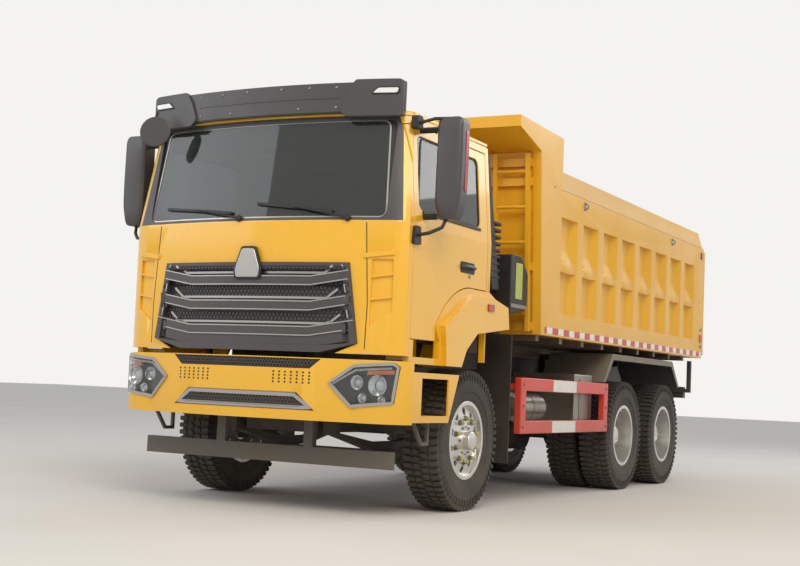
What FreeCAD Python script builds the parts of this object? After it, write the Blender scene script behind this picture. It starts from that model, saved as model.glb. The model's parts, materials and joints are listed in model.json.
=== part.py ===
import FreeCAD, Part
import math
import os
import re

import Sketcher

# Three-axle tipper truck with a forward-control tilt cab, millimetres, +Z up.
# Forward is -Y and the truck's left is +X. Each sub-part is drawn in the front
# axle's frame (origin on the ground under the middle of the front axle, y
# measured rearwards) and its Placement then moves it to the part's origin, on
# the ground at the middle of the overall length.

doc = FreeCAD.newDocument("TipperTruck")

# Driving sizes, one value each, piece by piece.
SIZES = {
    # overall reach from the front axle
    "front_overhang": 1420,
    "rear_overhang": 1445,
    # tyres and rims
    "wheelbase": 3625,
    "bogie_spacing": 1350,
    "tyre_radius": 540,
    "tyre_width": 300,
    "tyre_shoulder": 40,
    "tread_half": 118,
    "bead_radius": 286,
    "bead_half": 118,
    "sidewall_radius": 420,
    "rim_wall": 14,
    "rim_lip": 16,
    "rim_side": 10,
    "seat_gap": 0.3,
    "front_wheel_x": 1030,
    "dual_wheel_x": 1075,
    "dual_spacing": 345,
    "disc_wall": 16,
    "front_disc_x": 1120,
    "hub_radius": 128,
    "hub_face_x": 1150,
    "hub_cap_radius": 72,
    "hub_cap_x": 1218,
    "drum_radius": 205,
    "drum_wall": 16,
    "front_drum_x": 935,
    "rear_drum_x": 600,
    "drum_width": 120,
    "running_gap": 0.8,
    # front axle and steering
    "kingpin_x": 840,
    "kingpin_radius": 22,
    "eye_radius": 45,
    "eye_height": 90,
    "fork_height": 50,
    "fork_reach": 84,
    "web_wall": 26,
    "spindle_radius": 40,
    "spindle_end_x": 1120,
    "beam_depth": 90,
    "beam_height": 80,
    "beam_drop": 120,
    "beam_pad_x": 560,
    "beam_neck_x": 760,
    "arm_reach": 220,
    "arm_width": 44,
    "tie_rod_radius": 16,
    "tie_rod_eye": 27,
    "tie_rod_height": 72,
    # leaf springs
    "spring_x": 430,
    "spring_width": 80,
    "spring_half": 800,
    "spring_pack": 70,
    "spring_leaf": 22,
    "spring_rise": 130,
    "hanger_length": 110,
    # frame
    "frame_half": 425,
    "rail_height": 300,
    "rail_flange": 80,
    "rail_wall": 9,
    "rail_bottom": 800,
    "rail_front_y": -1150,
    "rail_tail": 1085,
    "member_width": 80,
    "member_margin": 25,
    # rear axles and bogie
    "axle_tube": 75,
    "axle_end_x": 560,
    "rear_spindle_radius": 60,
    "rear_spindle_end_x": 1040,
    "diff_radius": 205,
    "diff_width": 240,
    "pinion_radius": 90,
    "pinion_reach": 330,
    "shaft_radius": 45,
    "bogie_spring_x": 497,
    "bogie_spring_width": 90,
    "bogie_spring_drop": 90,
    "bogie_pack": 120,
    "trunnion_radius": 50,
    "trunnion_z": 580,
    "rod_radius": 24,
    # engine, gearbox, radiator
    "engine_front_y": -820,
    "engine_rear_y": 380,
    "engine_half": 320,
    "engine_bottom": 560,
    "engine_top": 1400,
    "gearbox_rear_y": 1180,
    "gearbox_half": 230,
    "gearbox_top": 760,
    "radiator_y": -1010,
    "radiator_depth": 90,
    "radiator_half": 360,
    "radiator_top": 1500,
    # subframe and tipping hinge
    "subframe_height": 160,
    "subframe_front_y": 640,
    "tip_hinge_tail": 1145,
    "tip_pin_radius": 40,
    "tip_pin_half": 490,
    "tip_ear_wall": 34,
    "tip_ear_half": 78,
    "side_gap": 10,
    "rest_gap": 0.5,
    # hoist
    "hoist_y": 800,
    "hoist_pivot_z": 1000,
    "hoist_base_z": 800,
    "hoist_eye_z": 2100,
    "hoist_barrel_radius": 105,
    "hoist_tube_wall": 7,
    "hoist_tube_step": 8,
    "hoist_tube_length": 1180,
    "hoist_pin_radius": 45,
    "hoist_pin_half": 190,
    "hoist_eye_radius": 48,
    "cradle_wall": 30,
    # body floor and bearers
    "body_half": 1250,
    "body_wall": 80,
    "body_bottom": 1425,
    "floor_plate": 28,
    "bearer_depth": 50,
    "bearer_width": 70,
    "bearer_gap": 40,
    "bearer_first_y": 1300,
    "bearer_pitch": 560,
    "body_front_y": 1219,
    "body_lean": 128,
    "body_tail": 1335,
    "post_rear_y": 1610,
    # body side
    "side_top": 2730,
    "rail_top": 2895,
    "rail_inset": 14,
    "rail_slope": 220,
    "canopy_lip_y": 617,
    "canopy_low": 3114,
    "canopy_high": 3209,
    "canopy_rear_y": 1606,
    "canopy_rear_z": 3188,
    "brow_z": 2988,
    "recess_first_y": 1825,
    "recess_tail": 593,
    "recess_count": 8,
    "recess_outer": 410,
    "recess_inner": 270,
    "recess_depth": 62,
    "recess_low": 1630,
    "recess_high": 2490,
    "step_low": 2005,
    "step_high": 2085,
    "step_slope": 150,
    "step_setback": 8,
    # headboard, canopy and ladder
    "head_wall": 60,
    "head_setback": 22,
    "head_rib": 40,
    "head_rib_height": 70,
    "canopy_plate": 36,
    "ladder_width": 300,
    "ladder_tube": 17,
    "ladder_low": 1450,
    "ladder_high": 2960,
    "ladder_rungs": 5,
    "ladder_standoff": 60,
    # tailgate
    "gate_wall": 60,
    "gate_gap": 8,
    "gate_bottom": 1460,
    "gate_top": 2700,
    "gate_rib": 42,
    "gate_rib_width": 90,
    "gate_hinge_z": 2800,
    "gate_hinge_x": 1120,
    "gate_pin_radius": 18,
    "gate_eye_radius": 38,
    "gate_eye_width": 40,
    # side guards
    "guard_depth": 60,
    "guard_ahead": 615,
    "guard_front_y": 845,
    "guard_low": 585,
    "guard_high": 1050,
    "guard_post": 112,
    "guard_rail": 109,
    "guard_arm": 60,
    # tanks and boxes
    "fuel_front_y": 1180,
    "fuel_ahead": 1065,
    "fuel_inner_x": 520,
    "fuel_outer_x": 1150,
    "fuel_low": 560,
    "fuel_high": 1150,
    "fuel_round": 120,
    "air_tank_radius": 120,
    "air_tank_length": 620,
    "air_tank_y": 1560,
    "air_tank_x": 960,
    "air_tank_z": 800,
    "battery_ahead": 785,
    "battery_length": 480,
    "battery_inner_x": 520,
    "battery_outer_x": 1140,
    "battery_low": 640,
    "battery_high": 1120,
    "bracket_depth": 90,
    "silencer_y": 1000,
    "silencer_z": 770,
    "silencer_radius": 150,
    "silencer_inner_x": 490,
    "silencer_outer_x": 1100,
    # mudguards
    "mud_inset": 30,
    "mud_inner_x": 560,
    "mud_low_reach": 667,
    "mud_reach": 422,
    "mud_tail": 265,
    "mud_low_tail": 550,
    "mud_wall": 22,
    "mud_low": 1060,
    "mud_high": 1345,
    "mud_lip": 60,
    "flap_inset": 60,
    "flap_front_y": 740,
    "flap_wall": 14,
    "flap_low": 343,
    "flap_high": 1400,
    "flap_inner_x": 880,
    # rear lamp arms
    "lamp_tail": 1035,
    "lamp_inset": 40,
    "lamp_arm": 44,
    "lamp_arm_z": 1010,
    "lamp_post_top": 1380,
    "lamp_width": 420,
    "lamp_height": 130,
    "lamp_depth": 70,
    # air filter
    "pod_front_y": 700,
    "pod_rear_y": 1060,
    "pod_low": 1560,
    "pod_high": 2060,
    "pod_inner_x": 900,
    "pod_outer_x": 1180,
    "pod_round": 70,
}

# Cab sizes.
SIZES.update({
    "cab_low": 1095,
    "cab_belt": 2080,
    "cab_top": 2900,
    "cab_half": 1200,
    "cab_top_half": 1130,
    "cab_rear_y": 240,
    "cab_wall": 50,
    "nose_x": 985,
    "nose_y": 1250,
    "nose_bow": 4400,
    "nose_side_y": 1150,
    "corner_radius": 420,
    "belt_y": 1240,
    "belt_side_y": 1160,
    "brow_x": 920,
    "brow_y": 1120,
    "brow_side_y": 1030,
    "roof_wall": 40,
    "front_low": 1144,
    "sill_high": 1270,
    "floor_z": 1290,
    "floor_wall": 40,
    "tunnel_half": 420,
    "tunnel_top": 1570,
    "tunnel_rear_y": 240,
    "screen_low": 2110,
    "screen_high": 2830,
    "screen_half": 1040,
    "screen_depth": 14,
    "pillar_width": 60,
    "door_front_y": 1085,
    "door_rear_y": 170,
    "door_high": 2800,
    "door_gap": 7,
    "window_front_y": 1010,
    "window_rear_y": 40,
    "window_low": 2190,
    "window_high": 2730,
    "window_quarter": 60,
    "window_round": 60,
    "glass_wall": 8,
    "arch_y": 20,
    "seam_front_y": 693,
    "seam_low": 1387,
    "seam_top_y": 143,
    "seam_top": 1709,
    "seam_radius": 741,
    "cab_hinge_y": 1310,
    "cab_hinge_z": 950,
    "cab_hinge_radius": 22,
    "cab_ear_x": 465,
    "cab_ear_wall": 30,
    "cab_ear_half": 50,
    "arch_front_y": 327,
    "arch_mid_y": 246,
    "arch_mid_z": 1228,
    "arch_top_z": 1359,
    "flare_front_y": 590,
    "flare_drop": 109,
    "flare_rear_y": 540,
    "flare_low_rear": 1428,
    "flare_x": 1250,
    "flare_inner_x": 890,
    "flare_wall": 30,
    "tread_x": 1010,
    "tread_wall": 24,
    "grille_half_top": 800,
    "grille_half_low": 885,
    "grille_chin": 610,
    "grille_top": 1785,
    "grille_shoulder": 1217,
    "grille_low": 1146,
    "grille_proud": 16,
    "grille_depth": 46,
    "grille_frame": 48,
    "grille_bar": 62,
    "grille_bars": 3,
    "visor_half": 1110,
    "visor_low": 2880,
    "visor_high": 3095,
    "visor_wall": 26,
    "visor_forward": 110,
    "seat_x": 560,
    "seat_width": 500,
    "seat_depth": 480,
    "seat_y": -420,
    "seat_z": 1640,
    "seat_cushion": 130,
    "seat_back": 700,
    "seat_round": 45,
    "dash_rear_y": 800,
    "dash_front_y": 1130,
    "dash_low": 1580,
    "dash_high": 1960,
    "dash_half": 1120,
    "steer_x": 560,
    "steer_y": -700,
    "steer_z": 2010,
    "steer_radius": 230,
    "steer_rim": 17,
    "steer_tilt": 28,
    "duct_inner_x": 960,
    "duct_outer_x": 1120,
    "duct_depth": 150,
    "duct_low": 1745,
    "duct_high": 2790,
    # mirrors
    "mirror_x": 1410,
    "mirror_wide": 200,
    "mirror_front_y": 1010,
    "mirror_rear_y": 870,
    "mirror_low": 2120,
    "mirror_high": 2850,
    "mirror_round": 45,
    "mirror_arm": 22,
    # bumper
    "bumper_low": 665,
    "bumper_high": 1105,
    "bumper_half": 1240,
    "bumper_y": 1288,
    "bumper_nose_x": 880,
    "bumper_bow": 3000,
    "bumper_side_y": 1090,
    "bumper_round": 300,
    "bumper_wall": 60,
    "bumper_skin": 14,
    "wing_front_y": 1060,
    "wing_rear_top_y": 340,
    "wing_rear_low_y": 500,
    "wing_top": 1035,
    "wing_low": 680,
    "wing_round": 20,
    "lower_step_y": 650,
    "lower_step_z": 730,
    "lower_step_x": 1010,
    "lamp_in_x": 700,
    "lamp_in_z": 935,
    "lamp_top_z": 1090,
    "lamp_out_x": 1190,
    "lamp_low_in_x": 860,
    "lamp_low_z": 770,
    "lamp_out_z": 805,
    "lamp_proud": 8,
    "lamp_gap": 3,
    "intake_low": 732,
    "intake_high": 860,
    "intake_half_low": 610,
    "intake_half_high": 470,
    "intake_frame": 22,
    "intake_proud": 10,
    "bar_half": 1080,
    "bar_y": 1060,
    "bar_depth": 60,
    "bar_low": 342,
    "bar_high": 468,
    "bar_hanger": 60,
    "loop_x": 1150,
    "loop_tube": 13,
    "loop_low": 510,
    "loop_front_y": 945,
    "loop_rear_y": 520,
})

# Places that follow from the sizes, each one worked out once.
PLACES = {
    "front_axle_y": "(front_overhang - wheelbase - bogie_spacing - rear_overhang)/2",
    "rear_axle_y": "wheelbase + bogie_spacing",
    "rail_rear_y": "wheelbase + bogie_spacing + rail_tail",
    "tip_hinge_y": "wheelbase + bogie_spacing + tip_hinge_tail",
    "body_rear_y": "wheelbase + bogie_spacing + body_tail",
    "rail_end_y": "wheelbase + bogie_spacing + body_tail - rail_slope",
    "recess_pitch": "(wheelbase + bogie_spacing + body_tail - recess_tail - recess_first_y)"
                    "/(recess_count - 1)",
    "lamp_arm_y": "wheelbase + bogie_spacing + lamp_tail",
    "lamp_post_x": "body_half - lamp_inset",
    "guard_x": "body_half",
    "guard_rear_y": "wheelbase - guard_ahead",
    "fuel_rear_y": "wheelbase - fuel_ahead",
    "battery_rear_y": "wheelbase - battery_ahead",
    "battery_front_y": "wheelbase - battery_ahead - battery_length",
    "mud_x": "body_half - mud_inset",
    "mud_front_low_y": "wheelbase - mud_low_reach",
    "mud_front_y": "wheelbase - mud_reach",
    "mud_rear_y": "wheelbase + bogie_spacing + mud_tail",
    "mud_rear_low_y": "wheelbase + bogie_spacing + mud_low_tail",
    "flap_x": "body_half - flap_inset",
    "trunnion_y": "wheelbase + bogie_spacing/2",
    "rail_top_z": "rail_bottom + rail_height",
    "subframe_top": "rail_bottom + rail_height + subframe_height",
    "tip_hinge_z": "rail_bottom + rail_height + subframe_height/2",
    "bearer_bottom": "rail_bottom + rail_height + subframe_height + side_gap/2",
    "body_inner": "body_half - body_wall",
    "ladder_x": "body_half - body_wall - ladder_tube - side_gap/2",
    "floor_top": "body_bottom + floor_plate",
    "kingpin_low": "tyre_radius - eye_height/2 - fork_height - rest_gap",
    "gate_front_y": "wheelbase + bogie_spacing + body_tail + gate_gap",
    "gate_hinge_y": "wheelbase + bogie_spacing + body_tail + gate_gap + gate_wall/2",
}


def words(text):
    """The expression with each name pointed at the sheet that holds it."""
    def sheet_name(match):
        name = match.group(0)
        if name in SIZES:
            return "Sizes." + name
        if name in PLACES:
            return "Places." + name
        return name
    return re.sub(r"[a-z][a-z0-9_]*", sheet_name, str(text))


def make_sheets():
    """The driving sizes in one sheet and the places worked out from them in another."""
    sizes = doc.addObject("Spreadsheet::Sheet", "Sizes")
    for row, (name, value) in enumerate(SIZES.items(), start=1):
        sizes.set(f"A{row}", name)
        sizes.set(f"B{row}", str(value))
        sizes.setAlias(f"B{row}", name)
    places = doc.addObject("Spreadsheet::Sheet", "Places")
    for row, (name, formula) in enumerate(PLACES.items(), start=1):
        places.set(f"A{row}", name)
        places.set(f"B{row}", "=" + words(formula))
        places.setAlias(f"B{row}", name)
    doc.recompute()
    return sizes


sheet = make_sheets()


def number(text):
    """The present value of an expression of named sizes."""
    return float(sheet.evalExpression(words(text)))


def bind(obj, prop, text):
    obj.setExpression(prop, words(text))


def move(obj, x="0", y="0", z="0"):
    for axis, text in zip("xyz", (x, y, z)):
        bind(obj, "Placement.Base." + axis, text)


# Primitives and booleans.

def box(x, y, z):
    """A block between two expressions along each axis."""
    block = doc.addObject("Part::Box", "Block")
    for prop, (low, high) in zip(("Length", "Width", "Height"), (x, y, z)):
        bind(block, prop, f"({high}) - ({low})")
    move(block, x[0], y[0], z[0])
    return block


TURNS = {
    "x": FreeCAD.Rotation(FreeCAD.Vector(0, 1, 0), 90),
    "y": FreeCAD.Rotation(FreeCAD.Vector(1, 0, 0), -90),
    "z": FreeCAD.Rotation(),
}


def rod(axis, centre, span, radius):
    """A round bar along an axis, its centre given on the other two axes in order."""
    bar = doc.addObject("Part::Cylinder", "Rod")
    bind(bar, "Radius", radius)
    bind(bar, "Height", f"({span[1]}) - ({span[0]})")
    bar.Placement = FreeCAD.Placement(FreeCAD.Vector(), TURNS[axis])
    base = list(centre)
    base.insert("xyz".index(axis), span[0])
    move(bar, *base)
    return bar


def fuse(*shapes):
    joined = doc.addObject("Part::MultiFuse", "Fusion")
    joined.Shapes = list(shapes)
    return joined


def together(*shapes):
    """Solids that don't touch, kept as one piece's group."""
    group = doc.addObject("Part::Compound", "Group")
    group.Links = list(shapes)
    return group


def cut(base, *tools):
    result = doc.addObject("Part::Cut", "Cut")
    result.Base = base
    result.Tool = tools[0] if len(tools) == 1 else together(*tools)
    return result


def common(first, second):
    result = doc.addObject("Part::Common", "Common")
    result.Base = first
    result.Tool = second
    return result


def mirrored(shape):
    other = doc.addObject("Part::Mirroring", "Mirror")
    other.Source = shape
    other.Normal = FreeCAD.Vector(1, 0, 0)
    return other


def both_sides(shape):
    return together(shape, mirrored(shape))


# Sketches and the bodies made from them.

def plane_of(body, role):
    return [part for part in body.Origin.OriginFeatures if part.Role == role][0]


def draw(sketch, points, arcs=None):
    """
    Close an outline through points of two expressions each. arcs names the
    sides that are arcs: side number to (radius, +1 or -1), where +1 puts the
    centre on the left of the way from the side's first point to its second.
    """
    arcs = arcs or {}
    spots = [FreeCAD.Vector(number(u), number(v), 0) for u, v in points]
    ends = []
    for side, start in enumerate(spots):
        end = spots[(side + 1) % len(spots)]
        if side not in arcs:
            sketch.addGeometry(Part.LineSegment(start, end), False)
            ends.append((1, 2))
            continue
        radius_text, turn = arcs[side]
        radius = number(radius_text)
        chord = end - start
        left = FreeCAD.Vector(-chord.y, chord.x, 0).normalize()
        rise = math.sqrt(radius ** 2 - (chord.Length / 2) ** 2)
        middle = (start + end) * 0.5 + left * (turn * rise)
        circle = Part.Circle(middle, FreeCAD.Vector(0, 0, 1), radius)
        first, last = (start, end) if turn > 0 else (end, start)
        angles = [math.atan2(spot.y - middle.y, spot.x - middle.x) for spot in (first, last)]
        sketch.addGeometry(Part.ArcOfCircle(circle, *angles), False)
        ends.append((1, 2) if turn > 0 else (2, 1))
        bound = sketch.addConstraint(Sketcher.Constraint("Radius", side, radius))
        bind(sketch, f"Constraints[{bound}]", radius_text)
    for side in range(len(spots)):
        after = (side + 1) % len(spots)
        sketch.addConstraint(
            Sketcher.Constraint("Coincident", side, ends[side][1], after, ends[after][0]))
    for side, ((u, v), spot) in enumerate(zip(points, spots)):
        for kind, text, value in (("DistanceX", u, spot.x), ("DistanceY", v, spot.y)):
            bound = sketch.addConstraint(
                Sketcher.Constraint(kind, -1, 1, side, ends[side][0], value))
            bind(sketch, f"Constraints[{bound}]", text)
    return spots


def sketch_on(body, plane, offset="0"):
    sketch = body.newObject("Sketcher::SketchObject", "Outline")
    sketch.AttachmentSupport = [(plane_of(body, plane + "_Plane"), "")]
    sketch.MapMode = "FlatFace"
    bind(sketch, "AttachmentOffset.Base.z", offset)
    return sketch


def prism(plane, points, span, arcs=None, rounds=None):
    """
    An outline on a plane, padded between two places along the plane's axis.
    rounds gives radius to the numbers of the outline's corners that it rounds.
    """
    body = doc.addObject("PartDesign::Body", "Body")
    low, high = span
    start = f"-({high})" if plane == "XZ" else low
    sketch = sketch_on(body, plane, start)
    spots = draw(sketch, points, arcs)
    pad = body.newObject("PartDesign::Pad", "Pad")
    pad.Profile = sketch
    bind(pad, "Length", f"({high}) - ({low})")
    doc.recompute()
    last = pad
    for radius, corners in (rounds or {}).items():
        edges = corner_edges(body.Shape, plane, [spots[corner] for corner in corners])
        fillet = body.newObject("PartDesign::Fillet", "Round")
        fillet.Base = (last, edges)
        bind(fillet, "Radius", radius)
        body.Tip = fillet
        last = fillet
        doc.recompute()
    return body


def corner_edges(shape, plane, corners):
    """The edges that run along the pad at the outline's given corners."""
    along = {"YZ": "x", "XZ": "y", "XY": "z"}[plane]
    across = {"YZ": ("y", "z"), "XZ": ("x", "z"), "XY": ("x", "y")}[plane]
    found = []
    for index, edge in enumerate(shape.Edges, start=1):
        if len(edge.Vertexes) != 2:
            continue
        first, last = (vertex.Point for vertex in edge.Vertexes)
        if abs(getattr(first, along) - getattr(last, along)) < 1:
            continue
        for corner in corners:
            gap = math.hypot(getattr(first, across[0]) - corner.x,
                             getattr(first, across[1]) - corner.y)
            other = math.hypot(getattr(last, across[0]) - corner.x,
                               getattr(last, across[1]) - corner.y)
            if gap < 0.01 and other < 0.01:
                found.append(f"Edge{index}")
    return found


def turned(plane, points, axis="H_Axis", arcs=None):
    """An outline turned once about one axis of its sketch."""
    body = doc.addObject("PartDesign::Body", "Body")
    sketch = sketch_on(body, plane)
    draw(sketch, points, arcs)
    turn = body.newObject("PartDesign::Revolution", "Revolution")
    turn.Profile = sketch
    turn.ReferenceAxis = (sketch, [axis])
    turn.Angle = 360
    return body


def loft(outlines):
    """A ruled solid through closed outlines, each given with its height."""
    sections = []
    for points, arcs, height in outlines:
        section = doc.addObject("Sketcher::SketchObject", "Section")
        draw(section, points, arcs)
        move(section, z=height)
        sections.append(section)
    skin = doc.addObject("Part::Loft", "Loft")
    skin.Sections = sections
    skin.Solid = True
    skin.Ruled = True
    return skin


def rectangle(u, v):
    return [(u[0], v[0]), (u[1], v[0]), (u[1], v[1]), (u[0], v[1])]


NODES = []


def keep(shape, name, x="0", y="0", z="0"):
    """Name a finished sub-part and put it in the part's frame."""
    shape.Label = name
    move(shape, x, f"front_axle_y + {y}", z)
    NODES.append(shape)
    return shape


# Wheels.

def tyre():
    """The tyre's section turned about the wheel's axis, standing at the origin."""
    outline = [
        ("-bead_half", "bead_radius + seat_gap"),
        ("bead_half", "bead_radius + seat_gap"),
        ("tyre_width/2", "sidewall_radius"),
        ("tyre_width/2 - tyre_shoulder/4", "tyre_radius - tyre_shoulder"),
        ("tread_half", "tyre_radius"),
        ("-tread_half", "tyre_radius"),
        ("-tyre_width/2 + tyre_shoulder/4", "tyre_radius - tyre_shoulder"),
        ("-tyre_width/2", "sidewall_radius"),
    ]
    return turned("XZ", outline)


def rim_barrel(centre):
    """The ring that one tyre sits on, with a lip at each edge."""
    lip = "bead_half + rim_side + rim_lip/3"
    well = "bead_radius - rim_wall"
    return turned("XZ", [
        (f"{centre} - ({lip})", well),
        (f"{centre} + {lip}", well),
        (f"{centre} + {lip}", "bead_radius + rim_lip"),
        (f"{centre} + {lip} - rim_side", "bead_radius + rim_lip"),
        (f"{centre} + {lip} - rim_side", "bead_radius"),
        (f"{centre} - ({lip}) + rim_side", "bead_radius"),
        (f"{centre} - ({lip}) + rim_side", "bead_radius + rim_lip"),
        (f"{centre} - ({lip})", "bead_radius + rim_lip"),
    ])


def front_rim():
    """Barrel, dished disc, hub with its cap and the brake drum."""
    barrel = rim_barrel("front_wheel_x")
    bore = "spindle_radius + running_gap"
    core = turned("XZ", [
        ("front_drum_x", bore),
        ("spindle_end_x + running_gap", bore),
        ("spindle_end_x + running_gap", "0"),
        ("hub_cap_x", "0"),
        ("hub_cap_x", "hub_cap_radius - rim_side"),
        ("hub_cap_x - rim_side", "hub_cap_radius"),
        ("hub_face_x", "hub_cap_radius"),
        ("hub_face_x", "hub_radius + rim_wall"),
        ("front_disc_x", "bead_radius - rim_wall"),
        ("front_disc_x - disc_wall", "bead_radius - rim_wall"),
        ("hub_face_x - 2*disc_wall", "hub_radius"),
        ("front_drum_x + drum_width", "hub_radius"),
        ("front_drum_x + drum_width", "drum_radius"),
        ("front_drum_x", "drum_radius"),
        ("front_drum_x", "drum_radius - drum_wall"),
        ("front_drum_x + drum_width - drum_wall", "drum_radius - drum_wall"),
        ("front_drum_x + drum_width - drum_wall", "hub_radius - drum_wall"),
        ("front_drum_x", "hub_radius - drum_wall"),
    ])
    return fuse(barrel, core)


def dual_rims():
    """The twin barrels with both dished discs, the hub and the drum."""
    middle = "dual_wheel_x - dual_spacing/2"
    outer_barrel = rim_barrel("dual_wheel_x")
    inner_barrel = rim_barrel("dual_wheel_x - dual_spacing")
    bore = "rear_spindle_radius + running_gap"
    core = turned("XZ", [
        ("rear_drum_x", bore),
        ("rear_spindle_end_x + running_gap", bore),
        ("rear_spindle_end_x + running_gap", "0"),
        ("hub_face_x - disc_wall", "0"),
        ("hub_face_x - disc_wall", "hub_cap_radius"),
        ("hub_face_x - 3*disc_wall", "hub_radius"),
        (f"{middle} + disc_wall", "hub_radius"),
        (f"{middle} + 4*disc_wall", "bead_radius - rim_wall"),
        (f"{middle} + 3*disc_wall", "bead_radius - rim_wall"),
        (middle, "hub_radius + 2*disc_wall"),
        (f"{middle} - 3*disc_wall", "bead_radius - rim_wall"),
        (f"{middle} - 4*disc_wall", "bead_radius - rim_wall"),
        (f"{middle} - disc_wall", "hub_radius"),
        ("rear_drum_x + drum_width", "hub_radius"),
        ("rear_drum_x + drum_width", "drum_radius"),
        ("rear_drum_x", "drum_radius"),
        ("rear_drum_x", "drum_radius - drum_wall"),
        ("rear_drum_x + drum_width - drum_wall", "drum_radius - drum_wall"),
        ("rear_drum_x + drum_width - drum_wall", "hub_radius - drum_wall"),
        ("rear_drum_x", "hub_radius - drum_wall"),
    ])
    return fuse(outer_barrel, inner_barrel, core)


def put_wheel(shape, name, side, x, y):
    """Stand a wheel's piece on its axle, turned about for the right side."""
    if side == "right":
        half_turn = FreeCAD.Rotation(FreeCAD.Vector(0, 0, 1), 180)
        shape.Placement = FreeCAD.Placement(FreeCAD.Vector(), half_turn)
        x = f"-({x})"
    keep(shape, name, x, y, "tyre_radius")


def wheels():
    for side in ("left", "right"):
        put_wheel(tyre(), f"tyre_front_{side}", side, "front_wheel_x", "0")
        put_wheel(front_rim(), f"rim_front_{side}", side, "0", "0")
        for axle, y in (("mid", "wheelbase"), ("rear", "rear_axle_y")):
            outer = tyre()
            inner = tyre()
            move(inner, x="-dual_spacing")
            put_wheel(together(outer, inner), f"tyres_{axle}_{side}", side, "dual_wheel_x", y)
            put_wheel(dual_rims(), f"rims_{axle}_{side}", side, "0", y)


# Front axle and steering.

def front_axle():
    """The dropped beam between the kingpins, with an eye at each end."""
    low = "tyre_radius - beam_drop - beam_height"
    outline = [
        (f"-beam_neck_x", "tyre_radius - eye_height/2"),
        ("-beam_pad_x", low),
        ("beam_pad_x", low),
        ("beam_neck_x", "tyre_radius - eye_height/2"),
        ("kingpin_x", "tyre_radius - eye_height/2"),
        ("kingpin_x", "tyre_radius + eye_height/2"),
        ("beam_neck_x", "tyre_radius + eye_height/2"),
        ("beam_pad_x", f"{low} + beam_height"),
        ("-beam_pad_x", f"{low} + beam_height"),
        ("-beam_neck_x", "tyre_radius + eye_height/2"),
        ("-kingpin_x", "tyre_radius + eye_height/2"),
        ("-kingpin_x", "tyre_radius - eye_height/2"),
    ]
    beam = prism("XZ", outline, ("-beam_depth/2", "beam_depth/2"))
    solids = [beam]
    bores = []
    for x in ("kingpin_x", "-kingpin_x"):
        span = ("tyre_radius - eye_height/2", "tyre_radius + eye_height/2")
        solids.append(rod("z", (x, "0"), span, "eye_radius"))
        bores.append(rod("z", (x, "0"), span, "kingpin_radius + running_gap"))
    keep(cut(fuse(*solids), *bores), "front_axle")


def knuckle(side):
    """Fork, kingpin, wheel spindle and steering arm of one side."""
    low = "kingpin_low"
    eye_low = "tyre_radius - eye_height/2 - rest_gap"
    eye_high = "tyre_radius + eye_height/2 + rest_gap"
    high = f"{eye_high} + fork_height"
    web = "kingpin_x + fork_reach - web_wall"
    pieces = [
        rod("z", ("kingpin_x", "0"), (low, high), "kingpin_radius"),
        rod("z", ("kingpin_x", "0"), (low, eye_low), "eye_radius"),
        rod("z", ("kingpin_x", "0"), (eye_high, high), "eye_radius"),
        box(("kingpin_x", "kingpin_x + fork_reach"), ("-eye_radius", "eye_radius"), (low, eye_low)),
        box(("kingpin_x", "kingpin_x + fork_reach"), ("-eye_radius", "eye_radius"), (eye_high, high)),
        box((web, "kingpin_x + fork_reach"), ("-eye_radius", "eye_radius"), (low, high)),
        rod("x", ("0", "tyre_radius"), ("kingpin_x + fork_reach", "spindle_end_x"), "spindle_radius"),
        box(("kingpin_x - arm_width/2", "kingpin_x + arm_width/2"), ("0", "arm_reach"), (low, eye_low)),
        rod("z", ("kingpin_x", "arm_reach"), (low, eye_low), "tie_rod_eye"),
    ]
    shape = fuse(*pieces)
    if side == "right":
        shape = mirrored(shape)
    keep(shape, f"knuckle_{side}")


def tie_rod():
    low = "kingpin_low - rest_gap - tie_rod_height"
    high = "kingpin_low - rest_gap"
    middle = f"{low} + tie_rod_radius"
    pieces = [rod("x", ("arm_reach", middle), ("-kingpin_x", "kingpin_x"), "tie_rod_radius")]
    for x in ("kingpin_x", "-kingpin_x"):
        pieces.append(rod("z", (x, "arm_reach"), (low, high), "tie_rod_eye"))
    keep(fuse(*pieces), "tie_rod")


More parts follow.
